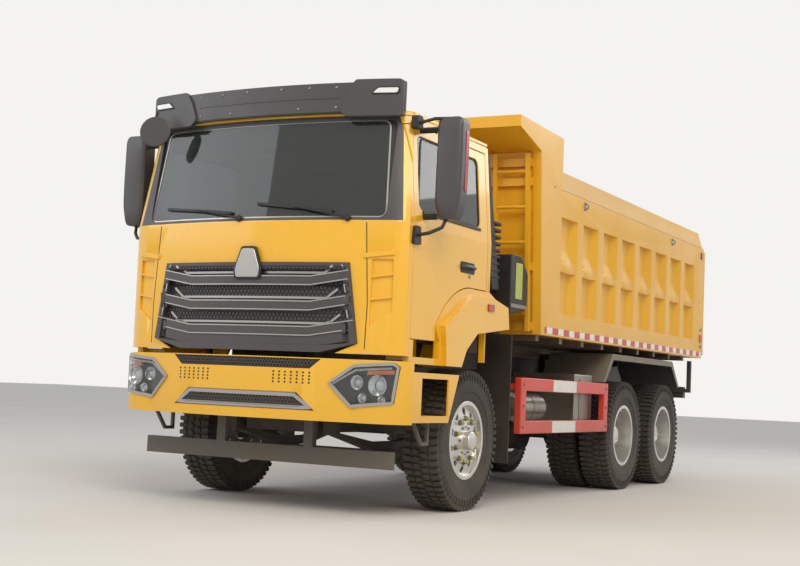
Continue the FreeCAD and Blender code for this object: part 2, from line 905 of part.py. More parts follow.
def leaf_springs():
    """Front packs on the beam, rear packs over the trunnion, and what hangs them."""
    seat = "tyre_radius - beam_drop"
    x = ("spring_x - spring_width/2", "spring_x + spring_width/2")
    outline = [
        ("-spring_half", f"{seat} + spring_rise"),
        ("-spring_half/4", seat),
        ("spring_half/4", seat),
        ("spring_half", f"{seat} + spring_rise"),
        ("spring_half", f"{seat} + spring_rise + spring_leaf"),
        ("spring_half/4", f"{seat} + spring_pack"),
        ("-spring_half/4", f"{seat} + spring_pack"),
        ("-spring_half", f"{seat} + spring_rise + spring_leaf"),
    ]
    pack = prism("YZ", outline, x)
    eye = f"{seat} + spring_rise"
    hangers = [
        box(x, (f"{y} - hanger_length/2", f"{y} + hanger_length/2"), (eye, "rail_bottom"))
        for y in ("-spring_half", "spring_half")
    ]
    front = both_sides(fuse(pack, *hangers))

    rear_x = ("bogie_spring_x - bogie_spring_width/2", "bogie_spring_x + bogie_spring_width/2")
    top = "tyre_radius + axle_tube + bogie_spring_drop"
    end_low = "tyre_radius + axle_tube"
    outline = [
        ("wheelbase - axle_tube", end_low),
        ("wheelbase + axle_tube", end_low),
        ("trunnion_y - spring_half/4", f"{top} - bogie_pack/2"),
        ("trunnion_y + spring_half/4", f"{top} - bogie_pack/2"),
        ("rear_axle_y - axle_tube", end_low),
        ("rear_axle_y + axle_tube", end_low),
        ("rear_axle_y + axle_tube", f"{end_low} + spring_leaf"),
        ("trunnion_y + spring_half/4", f"{top} + bogie_pack/2"),
        ("trunnion_y - spring_half/4", f"{top} + bogie_pack/2"),
        ("wheelbase - axle_tube", f"{end_low} + spring_leaf"),
    ]
    pack = prism("YZ", outline, rear_x)
    saddle = box(rear_x, ("trunnion_y - spring_half/8", "trunnion_y + spring_half/8"),
                 ("trunnion_z", f"{top} - bogie_pack/2"))
    rear = fuse(pack, saddle, mirrored(pack), mirrored(saddle),
                rod("x", ("trunnion_y", "trunnion_z"),
                    ("-bogie_spring_x - bogie_spring_width/2", "bogie_spring_x + bogie_spring_width/2"),
                    "trunnion_radius"),
                box(("-frame_half", "-frame_half + rail_flange"),
                    ("trunnion_y - spring_half/6", "trunnion_y + spring_half/6"),
                    ("trunnion_z", "rail_bottom")),
                box(("frame_half - rail_flange", "frame_half"),
                    ("trunnion_y - spring_half/6", "trunnion_y + spring_half/6"),
                    ("trunnion_z", "rail_bottom")))
    keep(together(front, rear), "leaf_springs")


# Frame, driveline and engine.

def frame():
    """Two channel rails, the members between them and the cab's hinge lugs in front."""
    inner = "frame_half - rail_wall"
    channel = [
        ("frame_half", "rail_bottom"),
        ("frame_half", "rail_top_z"),
        ("frame_half - rail_flange", "rail_top_z"),
        ("frame_half - rail_flange", "rail_top_z - rail_wall"),
        (inner, "rail_top_z - rail_wall"),
        (inner, "rail_bottom + rail_wall"),
        ("frame_half - rail_flange", "rail_bottom + rail_wall"),
        ("frame_half - rail_flange", "rail_bottom"),
    ]
    rail = prism("XZ", channel, ("rail_front_y", "rail_rear_y"))
    hinge = ("-cab_hinge_y", "cab_hinge_z")
    lug_x = ("frame_half", "frame_half + cab_ear_wall")
    lug = box(lug_x, ("-cab_hinge_y", "rail_front_y + 2*member_width"),
              ("cab_hinge_z - cab_ear_half", "cab_hinge_z + cab_ear_half"))
    boss = rod("x", hinge, lug_x, "cab_ear_half")
    pin = rod("x", hinge, ("frame_half", "cab_ear_x + cab_ear_wall + rest_gap"), "cab_hinge_radius")
    side = fuse(rail, lug, boss, pin)

    members = []
    for y in ("rail_front_y + member_width", "gearbox_rear_y + member_width", "wheelbase/2",
              "wheelbase*3/4", "trunnion_y", "rear_axle_y + bogie_spacing/3",
              "rail_rear_y - member_width"):
        members.append(box(
            (f"-({inner})", inner),
            (f"{y} - member_width/2", f"{y} + member_width/2"),
            ("rail_bottom + member_margin + rail_wall", "rail_top_z - member_margin - rail_wall")))
    keep(fuse(side, mirrored(side), *members), "frame")


def rear_axles():
    """Both driven axle housings and the shafts between the gearbox and them."""
    solids = []
    shaft_z = "tyre_radius + 2*axle_tube"
    for y in ("wheelbase", "rear_axle_y"):
        solids += [
            rod("x", (y, "tyre_radius"), ("-axle_end_x", "axle_end_x"), "axle_tube"),
            rod("x", (y, "tyre_radius"), ("-rear_spindle_end_x", "rear_spindle_end_x"),
                "rear_spindle_radius"),
            rod("x", (y, "tyre_radius"), ("-diff_width/2", "diff_width/2"), "diff_radius"),
            rod("y", ("0", shaft_z), (f"{y} - pinion_reach", y), "pinion_radius"),
        ]
    shaft = rod("y", ("0", shaft_z), ("gearbox_rear_y", "rear_axle_y"), "shaft_radius")
    keep(fuse(*solids, shaft), "rear_axles")


def engine():
    """The engine with its gearbox as one plain mass, and the radiator in front."""
    block = box(("-engine_half", "engine_half"), ("engine_front_y", "engine_rear_y"),
                ("engine_bottom", "engine_top"))
    gearbox = box(("-gearbox_half", "gearbox_half"), ("engine_rear_y", "gearbox_rear_y"),
                  ("engine_bottom - member_margin", "gearbox_top"))
    mounts = []
    for y in ("engine_front_y + hanger_length*2", "engine_rear_y - hanger_length*2"):
        mount = box(("engine_half", "frame_half - rail_wall"), (y, f"{y} + hanger_length"),
                    ("rail_bottom + rail_wall", "rail_bottom + rail_wall + hanger_length/2"))
        mounts += [mount, mirrored(mount)]
    core = box(("-radiator_half", "radiator_half"), ("radiator_y", "radiator_y + radiator_depth"),
               ("rail_top_z", "radiator_top"))
    keep(together(fuse(block, gearbox, *mounts), core), "engine")


def subframe():
    """The tipping body's chassis-side beams with the rear hinge and the hoist's cradle."""
    beam = prism("YZ", rectangle(("subframe_front_y", "tip_hinge_y"), ("rail_top_z", "subframe_top")),
                 ("frame_half - rail_flange", "frame_half"))
    boss = rod("x", ("tip_hinge_y", "tip_hinge_z"), ("frame_half - rail_flange", "frame_half"),
               "subframe_height/2")
    bearing = box(("hoist_barrel_radius + cradle_wall", "frame_half - rail_flange"),
                  ("hoist_y - hoist_pin_radius*2", "hoist_y + hoist_pin_radius*2"),
                  ("hoist_pivot_z - hoist_pin_radius*2", "rail_top_z + subframe_height/2"))
    bearing_bore = rod("x", ("hoist_y", "hoist_pivot_z"), ("0", "frame_half"),
                       "hoist_pin_radius + running_gap")
    side = fuse(beam, boss, cut(bearing, bearing_bore))
    pin = rod("x", ("tip_hinge_y", "tip_hinge_z"), ("-tip_pin_half", "tip_pin_half"), "tip_pin_radius")
    keep(fuse(side, mirrored(side), pin), "subframe")


# Hoist.

HOIST_STAGES = 4


def tube_radius(stage):
    """The outer radius of a hoist tube, 0 for the barrel."""
    return f"(hoist_barrel_radius - {stage}*hoist_tube_step - {stage}*hoist_tube_wall)"


def hoist():
    """The barrel on its trunnion pins and the tubes nested in it, the last with its eye."""
    bottom = "hoist_base_z"
    for stage in range(HOIST_STAGES + 1):
        outer = tube_radius(stage)
        bore = f"{tube_radius(stage + 1)} + running_gap"
        low = f"{bottom} + {stage + 1}*hoist_tube_wall*2"
        high = f"{low} + hoist_tube_length"
        if stage == 0:
            low = bottom
        body = rod("z", ("0", "hoist_y"), (low, high), outer)
        if stage == HOIST_STAGES:
            eye = rod("x", ("hoist_y", "hoist_eye_z"), ("-hoist_eye_radius", "hoist_eye_radius"),
                      "hoist_eye_radius")
            neck = rod("z", ("0", "hoist_y"), (f"{high} - rim_wall", "hoist_eye_z"), "hoist_pin_radius/2")
            keep(fuse(body, neck, eye), f"hoist_stage_{stage}")
            continue
        hollow = rod("z", ("0", "hoist_y"), (f"{low} + hoist_tube_wall", f"{high} + 1"), bore)
        if stage == 0:
            pins = rod("x", ("hoist_y", "hoist_pivot_z"), ("-hoist_pin_half", "hoist_pin_half"),
                       "hoist_pin_radius")
            collar = rod("z", ("0", "hoist_y"),
                         ("hoist_pivot_z - hoist_pin_radius - rim_wall",
                          "hoist_pivot_z + hoist_pin_radius + rim_wall"),
                         "hoist_barrel_radius + rim_wall")
            keep(cut(fuse(body, collar, pins), hollow), "hoist_barrel")
        else:
            keep(cut(body, hollow), f"hoist_stage_{stage}")


# Tipping body.

def body_floor():
    """Floor plate on cross bearers, the two long bearers and the hinge ears."""
    plate = box(("-body_inner", "body_inner"), ("body_front_y + head_setback + head_wall", "body_rear_y"),
                ("body_bottom", "floor_top"))
    pieces = [plate]
    long_bearer = box(("frame_half - rail_flange", "frame_half"), ("bearer_first_y", "body_rear_y"),
                      ("bearer_bottom", "body_bottom"))
    ear = prism("YZ", [
        ("tip_hinge_y - tip_ear_half", "tip_hinge_z"),
        ("tip_hinge_y + tip_ear_half", "tip_hinge_z"),
        ("tip_hinge_y + tip_ear_half", "body_bottom"),
        ("tip_hinge_y - tip_ear_half", "body_bottom"),
    ], ("frame_half + side_gap", "frame_half + side_gap + tip_ear_wall"))
    ear_round = rod("x", ("tip_hinge_y", "tip_hinge_z"),
                    ("frame_half + side_gap", "frame_half + side_gap + tip_ear_wall"), "tip_ear_half")
    for piece in (long_bearer, ear, ear_round):
        pieces += [piece, mirrored(piece)]
    for index in range(9):
        y = f"bearer_first_y + {index}*bearer_pitch"
        pieces.append(box(("-body_inner", "body_inner"), (y, f"{y} + bearer_width"),
                          ("body_bottom - bearer_depth", "body_bottom")))
    bore = rod("x", ("tip_hinge_y", "tip_hinge_z"), ("-tip_pin_half", "tip_pin_half"),
               "tip_pin_radius + running_gap")
    keep(cut(fuse(*pieces), bore), "body_floor")


def lean_y(z):
    """The body front's place at a height, on the line that leans forward."""
    return f"(body_front_y - body_lean*(({z}) - body_bottom)/(brow_z - body_bottom))"


def body_side():
    """
    The side wall: pressed recesses between flush ribs, a step across each
    recess, a smooth band over them and the front post that carries the canopy.
    """
    side = doc.addObject("PartDesign::Body", "BodySide")
    outline = [
        ("body_front_y", "body_bottom"),
        ("body_rear_y", "body_bottom"),
        ("body_rear_y", "side_top"),
        ("post_rear_y", "side_top"),
        ("canopy_rear_y", "canopy_rear_z"),
        ("canopy_lip_y", "canopy_high"),
        ("canopy_lip_y", "canopy_low"),
        (lean_y("brow_z"), "brow_z"),
    ]
    sketch = sketch_on(side, "YZ", "body_inner")
    draw(sketch, outline)
    wall = side.newObject("PartDesign::Pad", "Wall")
    wall.Profile = sketch
    bind(wall, "Length", "body_wall")

    sketch = sketch_on(side, "YZ", "body_inner")
    draw(sketch, [
        ("post_rear_y - rail_inset", "side_top - rail_inset"),
        ("body_rear_y", "side_top - rail_inset"),
        ("body_rear_y", "side_top"),
        ("rail_end_y", "rail_top"),
        ("post_rear_y - rail_inset", "rail_top"),
    ])
    rail = side.newObject("PartDesign::Pad", "TopRail")
    rail.Profile = sketch
    bind(rail, "Length", "body_wall - rail_inset")

    sketch = sketch_on(side, "XY", "recess_low")
    first = "recess_first_y"
    draw(sketch, [
        ("body_half", f"{first} - recess_outer/2"),
        ("body_half", f"{first} + recess_outer/2"),
        ("body_half - recess_depth", f"{first} + recess_inner/2"),
        ("body_half - recess_depth", f"{first} - recess_inner/2"),
    ])
    recess = side.newObject("PartDesign::Pocket", "Recess")
    recess.Profile = sketch
    recess.Reversed = True
    bind(recess, "Length", "recess_high - recess_low")
    repeat(side, recess, "Recesses")

    sketch = sketch_on(side, "XZ", f"-({first} + recess_inner/2)")
    draw(sketch, [
        ("body_half - recess_depth - step_setback", "step_low"),
        ("body_half - step_setback", "step_low"),
        ("body_half - step_setback", "step_high"),
        ("body_half - recess_depth - step_setback", "step_high + step_slope"),
    ])
    step = side.newObject("PartDesign::Pad", "Step")
    step.Profile = sketch
    bind(step, "Length", "recess_inner")
    repeat(side, step, "Steps")
    whole = fuse(side, *gate_lugs())
    keep(together(whole), "body_side_left")
    keep(mirrored(whole), "body_side_right")


def gate_lugs():
    """The pin the tailgate hangs from, its two lugs and what ties them to the side wall."""
    clear = "gate_eye_width/2 + side_gap/2"
    first = f"gate_hinge_x - ({clear}) - tip_ear_wall"
    last = f"gate_hinge_x + {clear}"
    pin = rod("x", ("gate_hinge_y", "gate_hinge_z"), (first, f"{last} + tip_ear_wall"),
              "gate_pin_radius")
    front = "body_rear_y - bearer_pitch/3"
    pieces = [pin]
    for low in (first, last):
        pieces.append(prism("YZ", [
            (front, "gate_hinge_z - gate_eye_radius"),
            ("gate_hinge_y", "gate_hinge_z - gate_eye_radius"),
            ("gate_hinge_y + gate_eye_radius", "gate_hinge_z"),
            ("gate_hinge_y", "gate_hinge_z + gate_eye_radius"),
            (front, "gate_hinge_z + gate_eye_radius/2"),
        ], (low, f"{low} + tip_ear_wall")))
    tie = box((first, "body_inner + side_gap"), (front, f"{front} + 2*tip_ear_wall"),
              ("gate_hinge_z - gate_eye_radius", "gate_hinge_z + gate_eye_radius/2"))
    return pieces + [tie]


def repeat(body, feature, name):
    """One copy of a feature for each recess along the side."""
    doc.recompute()
    pattern = body.newObject("PartDesign::LinearPattern", name)
    pattern.Originals = [feature]
    pattern.Direction = (plane_of(body, "Y_Axis"), [""])
    bind(pattern, "Length", "recess_pitch*(recess_count - 1)")
    bind(pattern, "Occurrences", "recess_count")
    body.Tip = pattern


def head_wall():
    """The leaning front wall itself."""
    front = "body_front_y + head_setback"
    front_top = f"{lean_y('brow_z')} + head_setback"
    return prism("YZ", [
        (front, "body_bottom"),
        (f"{front} + head_wall", "body_bottom"),
        (f"{front_top} + head_wall", "brow_z"),
        (front_top, "brow_z"),
    ], ("-body_inner", "body_inner"))


def head_ribs():
    """The cross ribs on the front wall's face."""
    ribs = []
    for z in ("body_bottom + head_rib_height", "step_low", "side_top", "rail_top"):
        face = f"{lean_y(z)} + head_setback"
        ribs.append(box(("-body_inner", "body_inner"), (f"{face} - head_rib", f"{face} + head_wall/2"),
                        (f"{z} - head_rib_height/2", f"{z} + head_rib_height/2")))
    return ribs


def headboard():
    """The leaning front wall with its ribs, the canopy and the hoist's bracket."""
    x = ("-body_inner", "body_inner")
    wall = head_wall()
    canopy = prism("YZ", [
        ("canopy_lip_y", "canopy_low"),
        (lean_y("brow_z"), "brow_z"),
        (f"{lean_y('brow_z')} + head_setback + head_wall", "brow_z"),
        (f"{lean_y('brow_z')} + head_setback + head_wall", "canopy_rear_z - canopy_plate"),
        ("canopy_rear_y", "canopy_rear_z - canopy_plate"),
        ("canopy_rear_y", "canopy_rear_z"),
        ("canopy_lip_y", "canopy_high"),
    ], x)
    cheek_in = "hoist_eye_radius + side_gap"
    cheek = prism("YZ", [
        (f"{lean_y('hoist_eye_z')} + head_setback + head_wall/2", "hoist_eye_z - bearer_pitch/8"),
        (f"{lean_y('hoist_eye_z')} + head_setback + head_wall/2", "hoist_eye_z + bearer_pitch/3"),
        ("hoist_y - hoist_eye_radius", "hoist_eye_z + hoist_eye_radius"),
        ("hoist_y - hoist_eye_radius", "hoist_eye_z - hoist_eye_radius"),
    ], (cheek_in, f"{cheek_in} + tip_ear_wall"))
    boss = rod("x", ("hoist_y", "hoist_eye_z"), (cheek_in, f"{cheek_in} + tip_ear_wall + rim_wall"),
               "hoist_eye_radius")
    keep(fuse(wall, canopy, *head_ribs(), cheek, mirrored(cheek), boss, mirrored(boss)), "headboard")


def ladder():
    """Two leaning tubes with rungs, on stand-offs from the headboard."""
    foot_y = f"{lean_y('ladder_low')} - ladder_standoff"
    head_y = f"{lean_y('ladder_high')} - ladder_standoff"
    tubes = []
    for x in ("ladder_x", "ladder_x - ladder_width"):
        tubes.append(prism("YZ", [
            (f"{foot_y} - ladder_tube", "ladder_low"),
            (f"{foot_y} + ladder_tube", "ladder_low"),
            (f"{head_y} + ladder_tube", "ladder_high"),
            (f"{head_y} - ladder_tube", "ladder_high"),
        ], (f"{x} - ladder_tube", f"{x} + ladder_tube")))
    for index in range(int(SIZES["ladder_rungs"])):
        z = f"(ladder_low + (ladder_high - ladder_low)*({index} + 0.5)/ladder_rungs)"
        y = f"{lean_y(z)} - ladder_standoff"
        tubes.append(rod("x", (y, z), ("ladder_x - ladder_width", "ladder_x"), "ladder_tube - rest_gap"))
    for z in ("ladder_low + ladder_standoff", "ladder_high - ladder_standoff"):
        for x in ("ladder_x", "ladder_x - ladder_width"):
            y = f"{lean_y(z)}"
            tubes.append(box((f"{x} - ladder_tube/2", f"{x} + ladder_tube/2"),
                             (f"{y} - ladder_standoff", f"{y} + head_setback + head_wall/2"),
                             (f"{z} - ladder_tube/2", f"{z} + ladder_tube/2")))
    keep(cut(fuse(*tubes), head_wall(), *head_ribs()), "ladder")


def tailgate():
    """The rear gate with its ribs, hung from two arms at the side walls' rear tops."""
    x = ("-body_half", "body_half")
    plate = box(x, ("gate_front_y", "gate_front_y + gate_wall"), ("gate_bottom", "gate_top"))
    pieces = [plate]
    back = ("gate_front_y + gate_wall/2", "gate_front_y + gate_wall + gate_rib")
    for z in ("gate_bottom + gate_rib_width/2", "gate_top - gate_rib_width/2"):
        pieces.append(box(("-body_half + gate_rib", "body_half - gate_rib"), back,
                          (f"{z} - gate_rib_width/2", f"{z} + gate_rib_width/2")))
    for index in range(5):
        place = f"(body_half - gate_rib*2)*({index} - 2)/2.2"
        pieces.append(box((f"{place} - gate_rib_width/2", f"{place} + gate_rib_width/2"), back,
                          ("gate_bottom + gate_rib_width/2", "gate_top - gate_rib_width/2")))
    for x in ("gate_hinge_x", "-gate_hinge_x"):
        span = (f"{x} - gate_eye_width/2", f"{x} + gate_eye_width/2")
        pieces.append(rod("x", ("gate_hinge_y", "gate_hinge_z"), span, "gate_eye_radius"))
        pieces.append(box(span, ("gate_front_y", "gate_front_y + gate_wall"),
                          ("gate_top - gate_eye_radius", "gate_hinge_z")))
    bore = rod("x", ("gate_hinge_y", "gate_hinge_z"), ("-body_half", "body_half"),
               "gate_pin_radius + running_gap")
    keep(cut(fuse(*pieces), bore), "tailgate")


# What hangs on the chassis.

def side_guards():
    """A closed loop of square tube along each side, on arms from the frame."""
    x = ("guard_x - guard_depth", "guard_x")
    outer = box(x, ("guard_front_y", "guard_rear_y"), ("guard_low", "guard_high"))
    window = box(x, ("guard_front_y + guard_post", "guard_rear_y - guard_post"),
                 ("guard_low + guard_rail", "guard_high - guard_rail"))
    loop = cut(outer, window)
    arms = []
    for y in ("guard_front_y + guard_post/2", "guard_rear_y - guard_post/2"):
        arms.append(box(("frame_half", "guard_x - guard_depth"),
                        (f"{y} - guard_arm/2", f"{y} + guard_arm/2"),
                        ("guard_high - guard_rail", "guard_high - guard_rail + guard_arm")))
    keep(both_sides(fuse(loop, *arms)), "side_guards")


def tanks():
    """Fuel tank on the right, air tanks and battery case on the left, each on brackets."""
    tank = prism("XZ", rectangle(("-fuel_outer_x", "-fuel_inner_x"), ("fuel_low", "fuel_high")),
                 ("fuel_front_y", "fuel_rear_y"), rounds={"fuel_round": [0, 1, 2, 3]})
    brackets = [
        box(("-fuel_inner_x", "-frame_half"),
            (f"{y} - bracket_depth/2", f"{y} + bracket_depth/2"), ("rail_bottom", "rail_top_z"))
        for y in ("fuel_front_y + bracket_depth*3", "fuel_rear_y - bracket_depth*3")
    ]
    keep(fuse(tank, *brackets), "fuel_tank")

    tanks = []
    for index in range(2):
        x = f"air_tank_x - {index}*(air_tank_radius*2 + side_gap)"
        half = "air_tank_length/2"
        dome = "air_tank_radius/3"
        shell = turned("YZ", [
            (f"air_tank_y - {half}", "0"),
            (f"air_tank_y + {half}", "0"),
            (f"air_tank_y + {half} - {dome}/2", "air_tank_radius*3/4"),
            (f"air_tank_y + {half} - {dome}", "air_tank_radius"),
            (f"air_tank_y - {half} + {dome}", "air_tank_radius"),
            (f"air_tank_y - {half} + {dome}/2", "air_tank_radius*3/4"),
        ])
        move(shell, x, "0", "air_tank_z")
        tanks.append(shell)
    straps = box(("frame_half", "air_tank_x"), ("air_tank_y - bracket_depth/2", "air_tank_y + bracket_depth/2"),
                 ("air_tank_z + air_tank_radius*4/5", "air_tank_z + air_tank_radius*4/5 + bracket_depth"))
    air = fuse(*tanks, straps)

    case = prism("XZ", rectangle(("battery_inner_x", "battery_outer_x"), ("battery_low", "battery_high")),
                 ("battery_front_y", "battery_rear_y"), rounds={"loop_tube": [0, 1, 2, 3]})
    bracket = box(("frame_half", "battery_inner_x"),
                  ("battery_front_y + bracket_depth", "battery_rear_y - bracket_depth"),
                  ("rail_bottom", "rail_top_z - member_margin"))
    keep(together(air, fuse(case, bracket)), "air_tanks_battery")


def exhaust():
    """The silencer across the right side, between the splash guard and the fuel tank."""
    can = rod("x", ("silencer_y", "silencer_z"), ("-silencer_outer_x", "-silencer_inner_x"),
              "silencer_radius")
    stay = box(("-silencer_inner_x - bracket_depth", "-frame_half"),
               ("silencer_y - bracket_depth/2", "silencer_y + bracket_depth/2"),
               ("rail_bottom", "rail_bottom + bracket_depth"))
    keep(fuse(can, stay), "silencer")


def mudguards():
    """Bent guards over the bogie's wheels, and the splash guards behind the front wheels."""
    low, high, wall = "mud_low", "mud_high", "mud_wall"
    outline = [
        ("mud_front_low_y", low),
        ("mud_front_y", high),
        ("mud_rear_y", high),
        ("mud_rear_low_y", low),
        (f"mud_rear_low_y - {wall}", low),
        (f"mud_rear_y - {wall}/2", f"{high} - {wall}"),
        (f"mud_front_y + {wall}/2", f"{high} - {wall}"),
        (f"mud_front_low_y + {wall}", low),
    ]
    guard = prism("YZ", outline, ("mud_inner_x", "mud_x"))
    lip = prism("YZ", [
        ("mud_front_low_y", low),
        ("mud_front_y", high),
        ("mud_rear_y", high),
        ("mud_rear_low_y", low),
        (f"mud_rear_low_y - mud_lip", low),
        (f"mud_rear_y - mud_lip/2", f"{high} - mud_lip"),
        (f"mud_front_y + mud_lip/2", f"{high} - mud_lip"),
        (f"mud_front_low_y + mud_lip", low),
    ], (f"mud_x - {wall}/2", "mud_x"))
    stays = [
        box(("frame_half + side_gap", "mud_inner_x + mud_lip"), (f"{y} - guard_arm/2", f"{y} + guard_arm/2"),
            (f"{high} - {wall} - guard_arm", f"{high} - {wall}"))
        for y in ("wheelbase - bogie_spacing/4", "trunnion_y", "rear_axle_y + bogie_spacing/8")
    ]
    for y in ("wheelbase - bogie_spacing/4", "trunnion_y", "rear_axle_y + bogie_spacing/8"):
        span = (f"{y} - guard_arm/2", f"{y} + guard_arm/2")
        stays.append(box(("frame_half + side_gap", "frame_half + guard_arm"), span,
                         ("rail_top_z - guard_arm", f"{high} - {wall}")))
        stays.append(box(("frame_half", "frame_half + guard_arm"), span,
                         ("rail_top_z - guard_arm", "rail_top_z")))
    rear = both_sides(fuse(guard, lip, *stays))

    flap = box(("flap_inner_x", "flap_x"), ("flap_front_y", "flap_front_y + flap_wall"),
               ("flap_low", "flap_high"))
    arm = box(("frame_half", "flap_inner_x + bracket_depth"),
              ("flap_front_y + flap_wall", "flap_front_y + flap_wall + guard_arm"),
              ("rail_top_z - guard_arm*2", "rail_top_z - guard_arm"))
    keep(together(rear, both_sides(fuse(flap, arm))), "mudguards")


def rear_lamps():
    """An arm out from each rail's end, with a post at its tip and the lamp behind it."""
    y = ("lamp_arm_y", "lamp_arm_y + lamp_arm")
    arm = box(("frame_half", "lamp_post_x"), y, ("lamp_arm_z", "lamp_arm_z + lamp_arm"))
    post = box(("lamp_post_x - lamp_arm", "lamp_post_x"), y, ("lamp_arm_z", "lamp_post_top"))
    lamp = box(("lamp_post_x - lamp_width - 2*lamp_arm", "lamp_post_x - 2*lamp_arm"),
               ("lamp_arm_y + lamp_arm/2", "lamp_arm_y + lamp_arm + lamp_depth"),
               ("lamp_arm_z - lamp_height/2", "lamp_arm_z + lamp_height/2"))
    keep(both_sides(fuse(arm, post, lamp)), "rear_lamp_arms")


def air_filter():
    """The tall filter housing behind the cab's left corner."""
    body = prism("YZ", [
        ("pod_front_y", "pod_low"),
        ("pod_rear_y", "pod_low + pod_round"),
        ("pod_rear_y", "pod_high - pod_round*2"),
        ("pod_rear_y - pod_round*2", "pod_high"),
        ("pod_front_y", "pod_high"),
    ], ("pod_inner_x", "pod_outer_x"), rounds={"pod_round/2": [1, 2, 3]})
    leg = box(("pod_inner_x", "pod_inner_x + guard_arm"), ("pod_rear_y - guard_arm*3", "pod_rear_y - guard_arm"),
              ("rail_top_z - guard_arm", "pod_low + pod_round*2"))
    foot = box(("frame_half", "pod_inner_x + guard_arm"), ("pod_rear_y - guard_arm*3", "pod_rear_y - guard_arm"),
               ("rail_top_z - guard_arm", "rail_top_z"))
    keep(fuse(body, leg, foot), "air_filter")


# Cab.

def cab_section(half, nose_x, nose_y, side_y, inset):
    """One plan outline of the cab, bowed in front and rounded at the front corners."""
    points = [
        (f"{half} - ({inset})", f"cab_rear_y - ({inset})"),
        (f"{half} - ({inset})", f"-{side_y} + ({inset})"),
        (f"{nose_x} - ({inset})", f"-{nose_y} + ({inset})"),
        (f"-{nose_x} + ({inset})", f"-{nose_y} + ({inset})"),
        (f"-{half} + ({inset})", f"-{side_y} + ({inset})"),
        (f"-{half} + ({inset})", f"cab_rear_y - ({inset})"),
    ]
    corner = (f"corner_radius - ({inset})", -1)
    return points, {1: corner, 2: (f"nose_bow - ({inset})", -1), 3: corner}


def cab_loft(inset="0", top="cab_top"):
    """The cab's outer form, or the same form drawn in by an inset."""
    return loft([
        (*cab_section("cab_half", "nose_x", "nose_y", "nose_side_y", inset), "cab_low"),
        (*cab_section("cab_half", "nose_x", "belt_y", "belt_side_y", inset), "cab_belt"),
        (*cab_section("cab_top_half", "brow_x", "brow_y", "brow_side_y", inset), top),
    ])


def door_outline(grow="0"):
    return [
        (f"-door_front_y - {grow}", f"sill_high - {grow}"),
        (f"-seam_front_y - {grow}/2", f"sill_high - {grow}"),
        (f"-seam_front_y + {grow}/2", f"seam_low - {grow}"),
        (f"-seam_top_y + {grow}/4", f"seam_top - {grow}"),
        (f"door_rear_y + {grow}", f"seam_top - {grow}"),
        (f"door_rear_y + {grow}", f"door_high + {grow}"),
        (f"-door_front_y - {grow}", f"door_high + {grow}"),
    ]


WINDOW = [
    ("-window_front_y", "window_low"),
    ("window_rear_y", "window_low"),
    ("window_rear_y", "window_high"),
    ("-window_front_y", "window_high"),
]


def window_prism():
    return prism("YZ", WINDOW, ("cab_top_half - 2*cab_wall", "flare_x"),
                 rounds={"window_round": [0, 1, 2, 3]})


def cab_panels():
    """The cab's shell split where its panels meet: front, sides, back and roof."""
    inner_top = "cab_top - roof_wall"
    wide = ("-flare_x", "flare_x")
    rear_in = "cab_rear_y - cab_wall"
    door_line = "-door_front_y - door_gap"
    shell = cut(cab_loft(), cab_loft("cab_wall", inner_top))

    front = common(shell, box(wide, ("-front_overhang", door_line), ("front_low", inner_top)))
    screen_hole = prism("XZ", rectangle(("-screen_half", "screen_half"), ("screen_low", "screen_high")),
                        ("-front_overhang", door_line), rounds={"window_round": [0, 1, 2, 3]})
    keep(cut(front, screen_hole, grille_prism("cab_low")), "cab_front")

    back = box(("-cab_half", "cab_half"), (rear_in, "cab_rear_y"), ("floor_z", inner_top))
    opening = box(("-tunnel_half + floor_wall", "tunnel_half - floor_wall"),
                  (rear_in, "cab_rear_y"), ("floor_z", "tunnel_top - floor_wall"))
    corner = fuse(
        box(("cab_half - cab_wall", "cab_half"), (rear_in, "cab_rear_y"),
            ("floor_z", "seam_top - door_gap")),
        box(("flare_inner_x", "cab_half"), (rear_in, "cab_rear_y"),
            ("floor_z", "arch_top_z + flare_wall*2.2")))
    keep(cut(common(cab_loft(), back), opening, corner, mirrored(corner)), "cab_back")

    roof = box(wide, ("-front_overhang", "cab_rear_y"), (inner_top, "cab_top"))
    keep(common(cab_loft(), roof), "cab_roof")

    strips = fuse(
        box(("0", "flare_x"), (door_line, rear_in), ("door_high + door_gap", inner_top)),
        box(("0", "flare_x"), ("door_rear_y + door_gap", rear_in), ("cab_low + cab_wall", inner_top)),
        box(("0", "flare_x"), (door_line, "-flare_front_y"), ("cab_low", "sill_high - door_gap")))
    frame_strips = common(shell, strips)
    recess = box(("0", "flare_x"), ("-door_front_y + cab_wall", "-flare_front_y - flare_wall"),
                 ("cab_low + 2*tread_wall", "sill_high"))
    left = fuse(cut(frame_strips, recess), *fender(), *upper_step())
    keep(both_sides(left), "cab_sides")


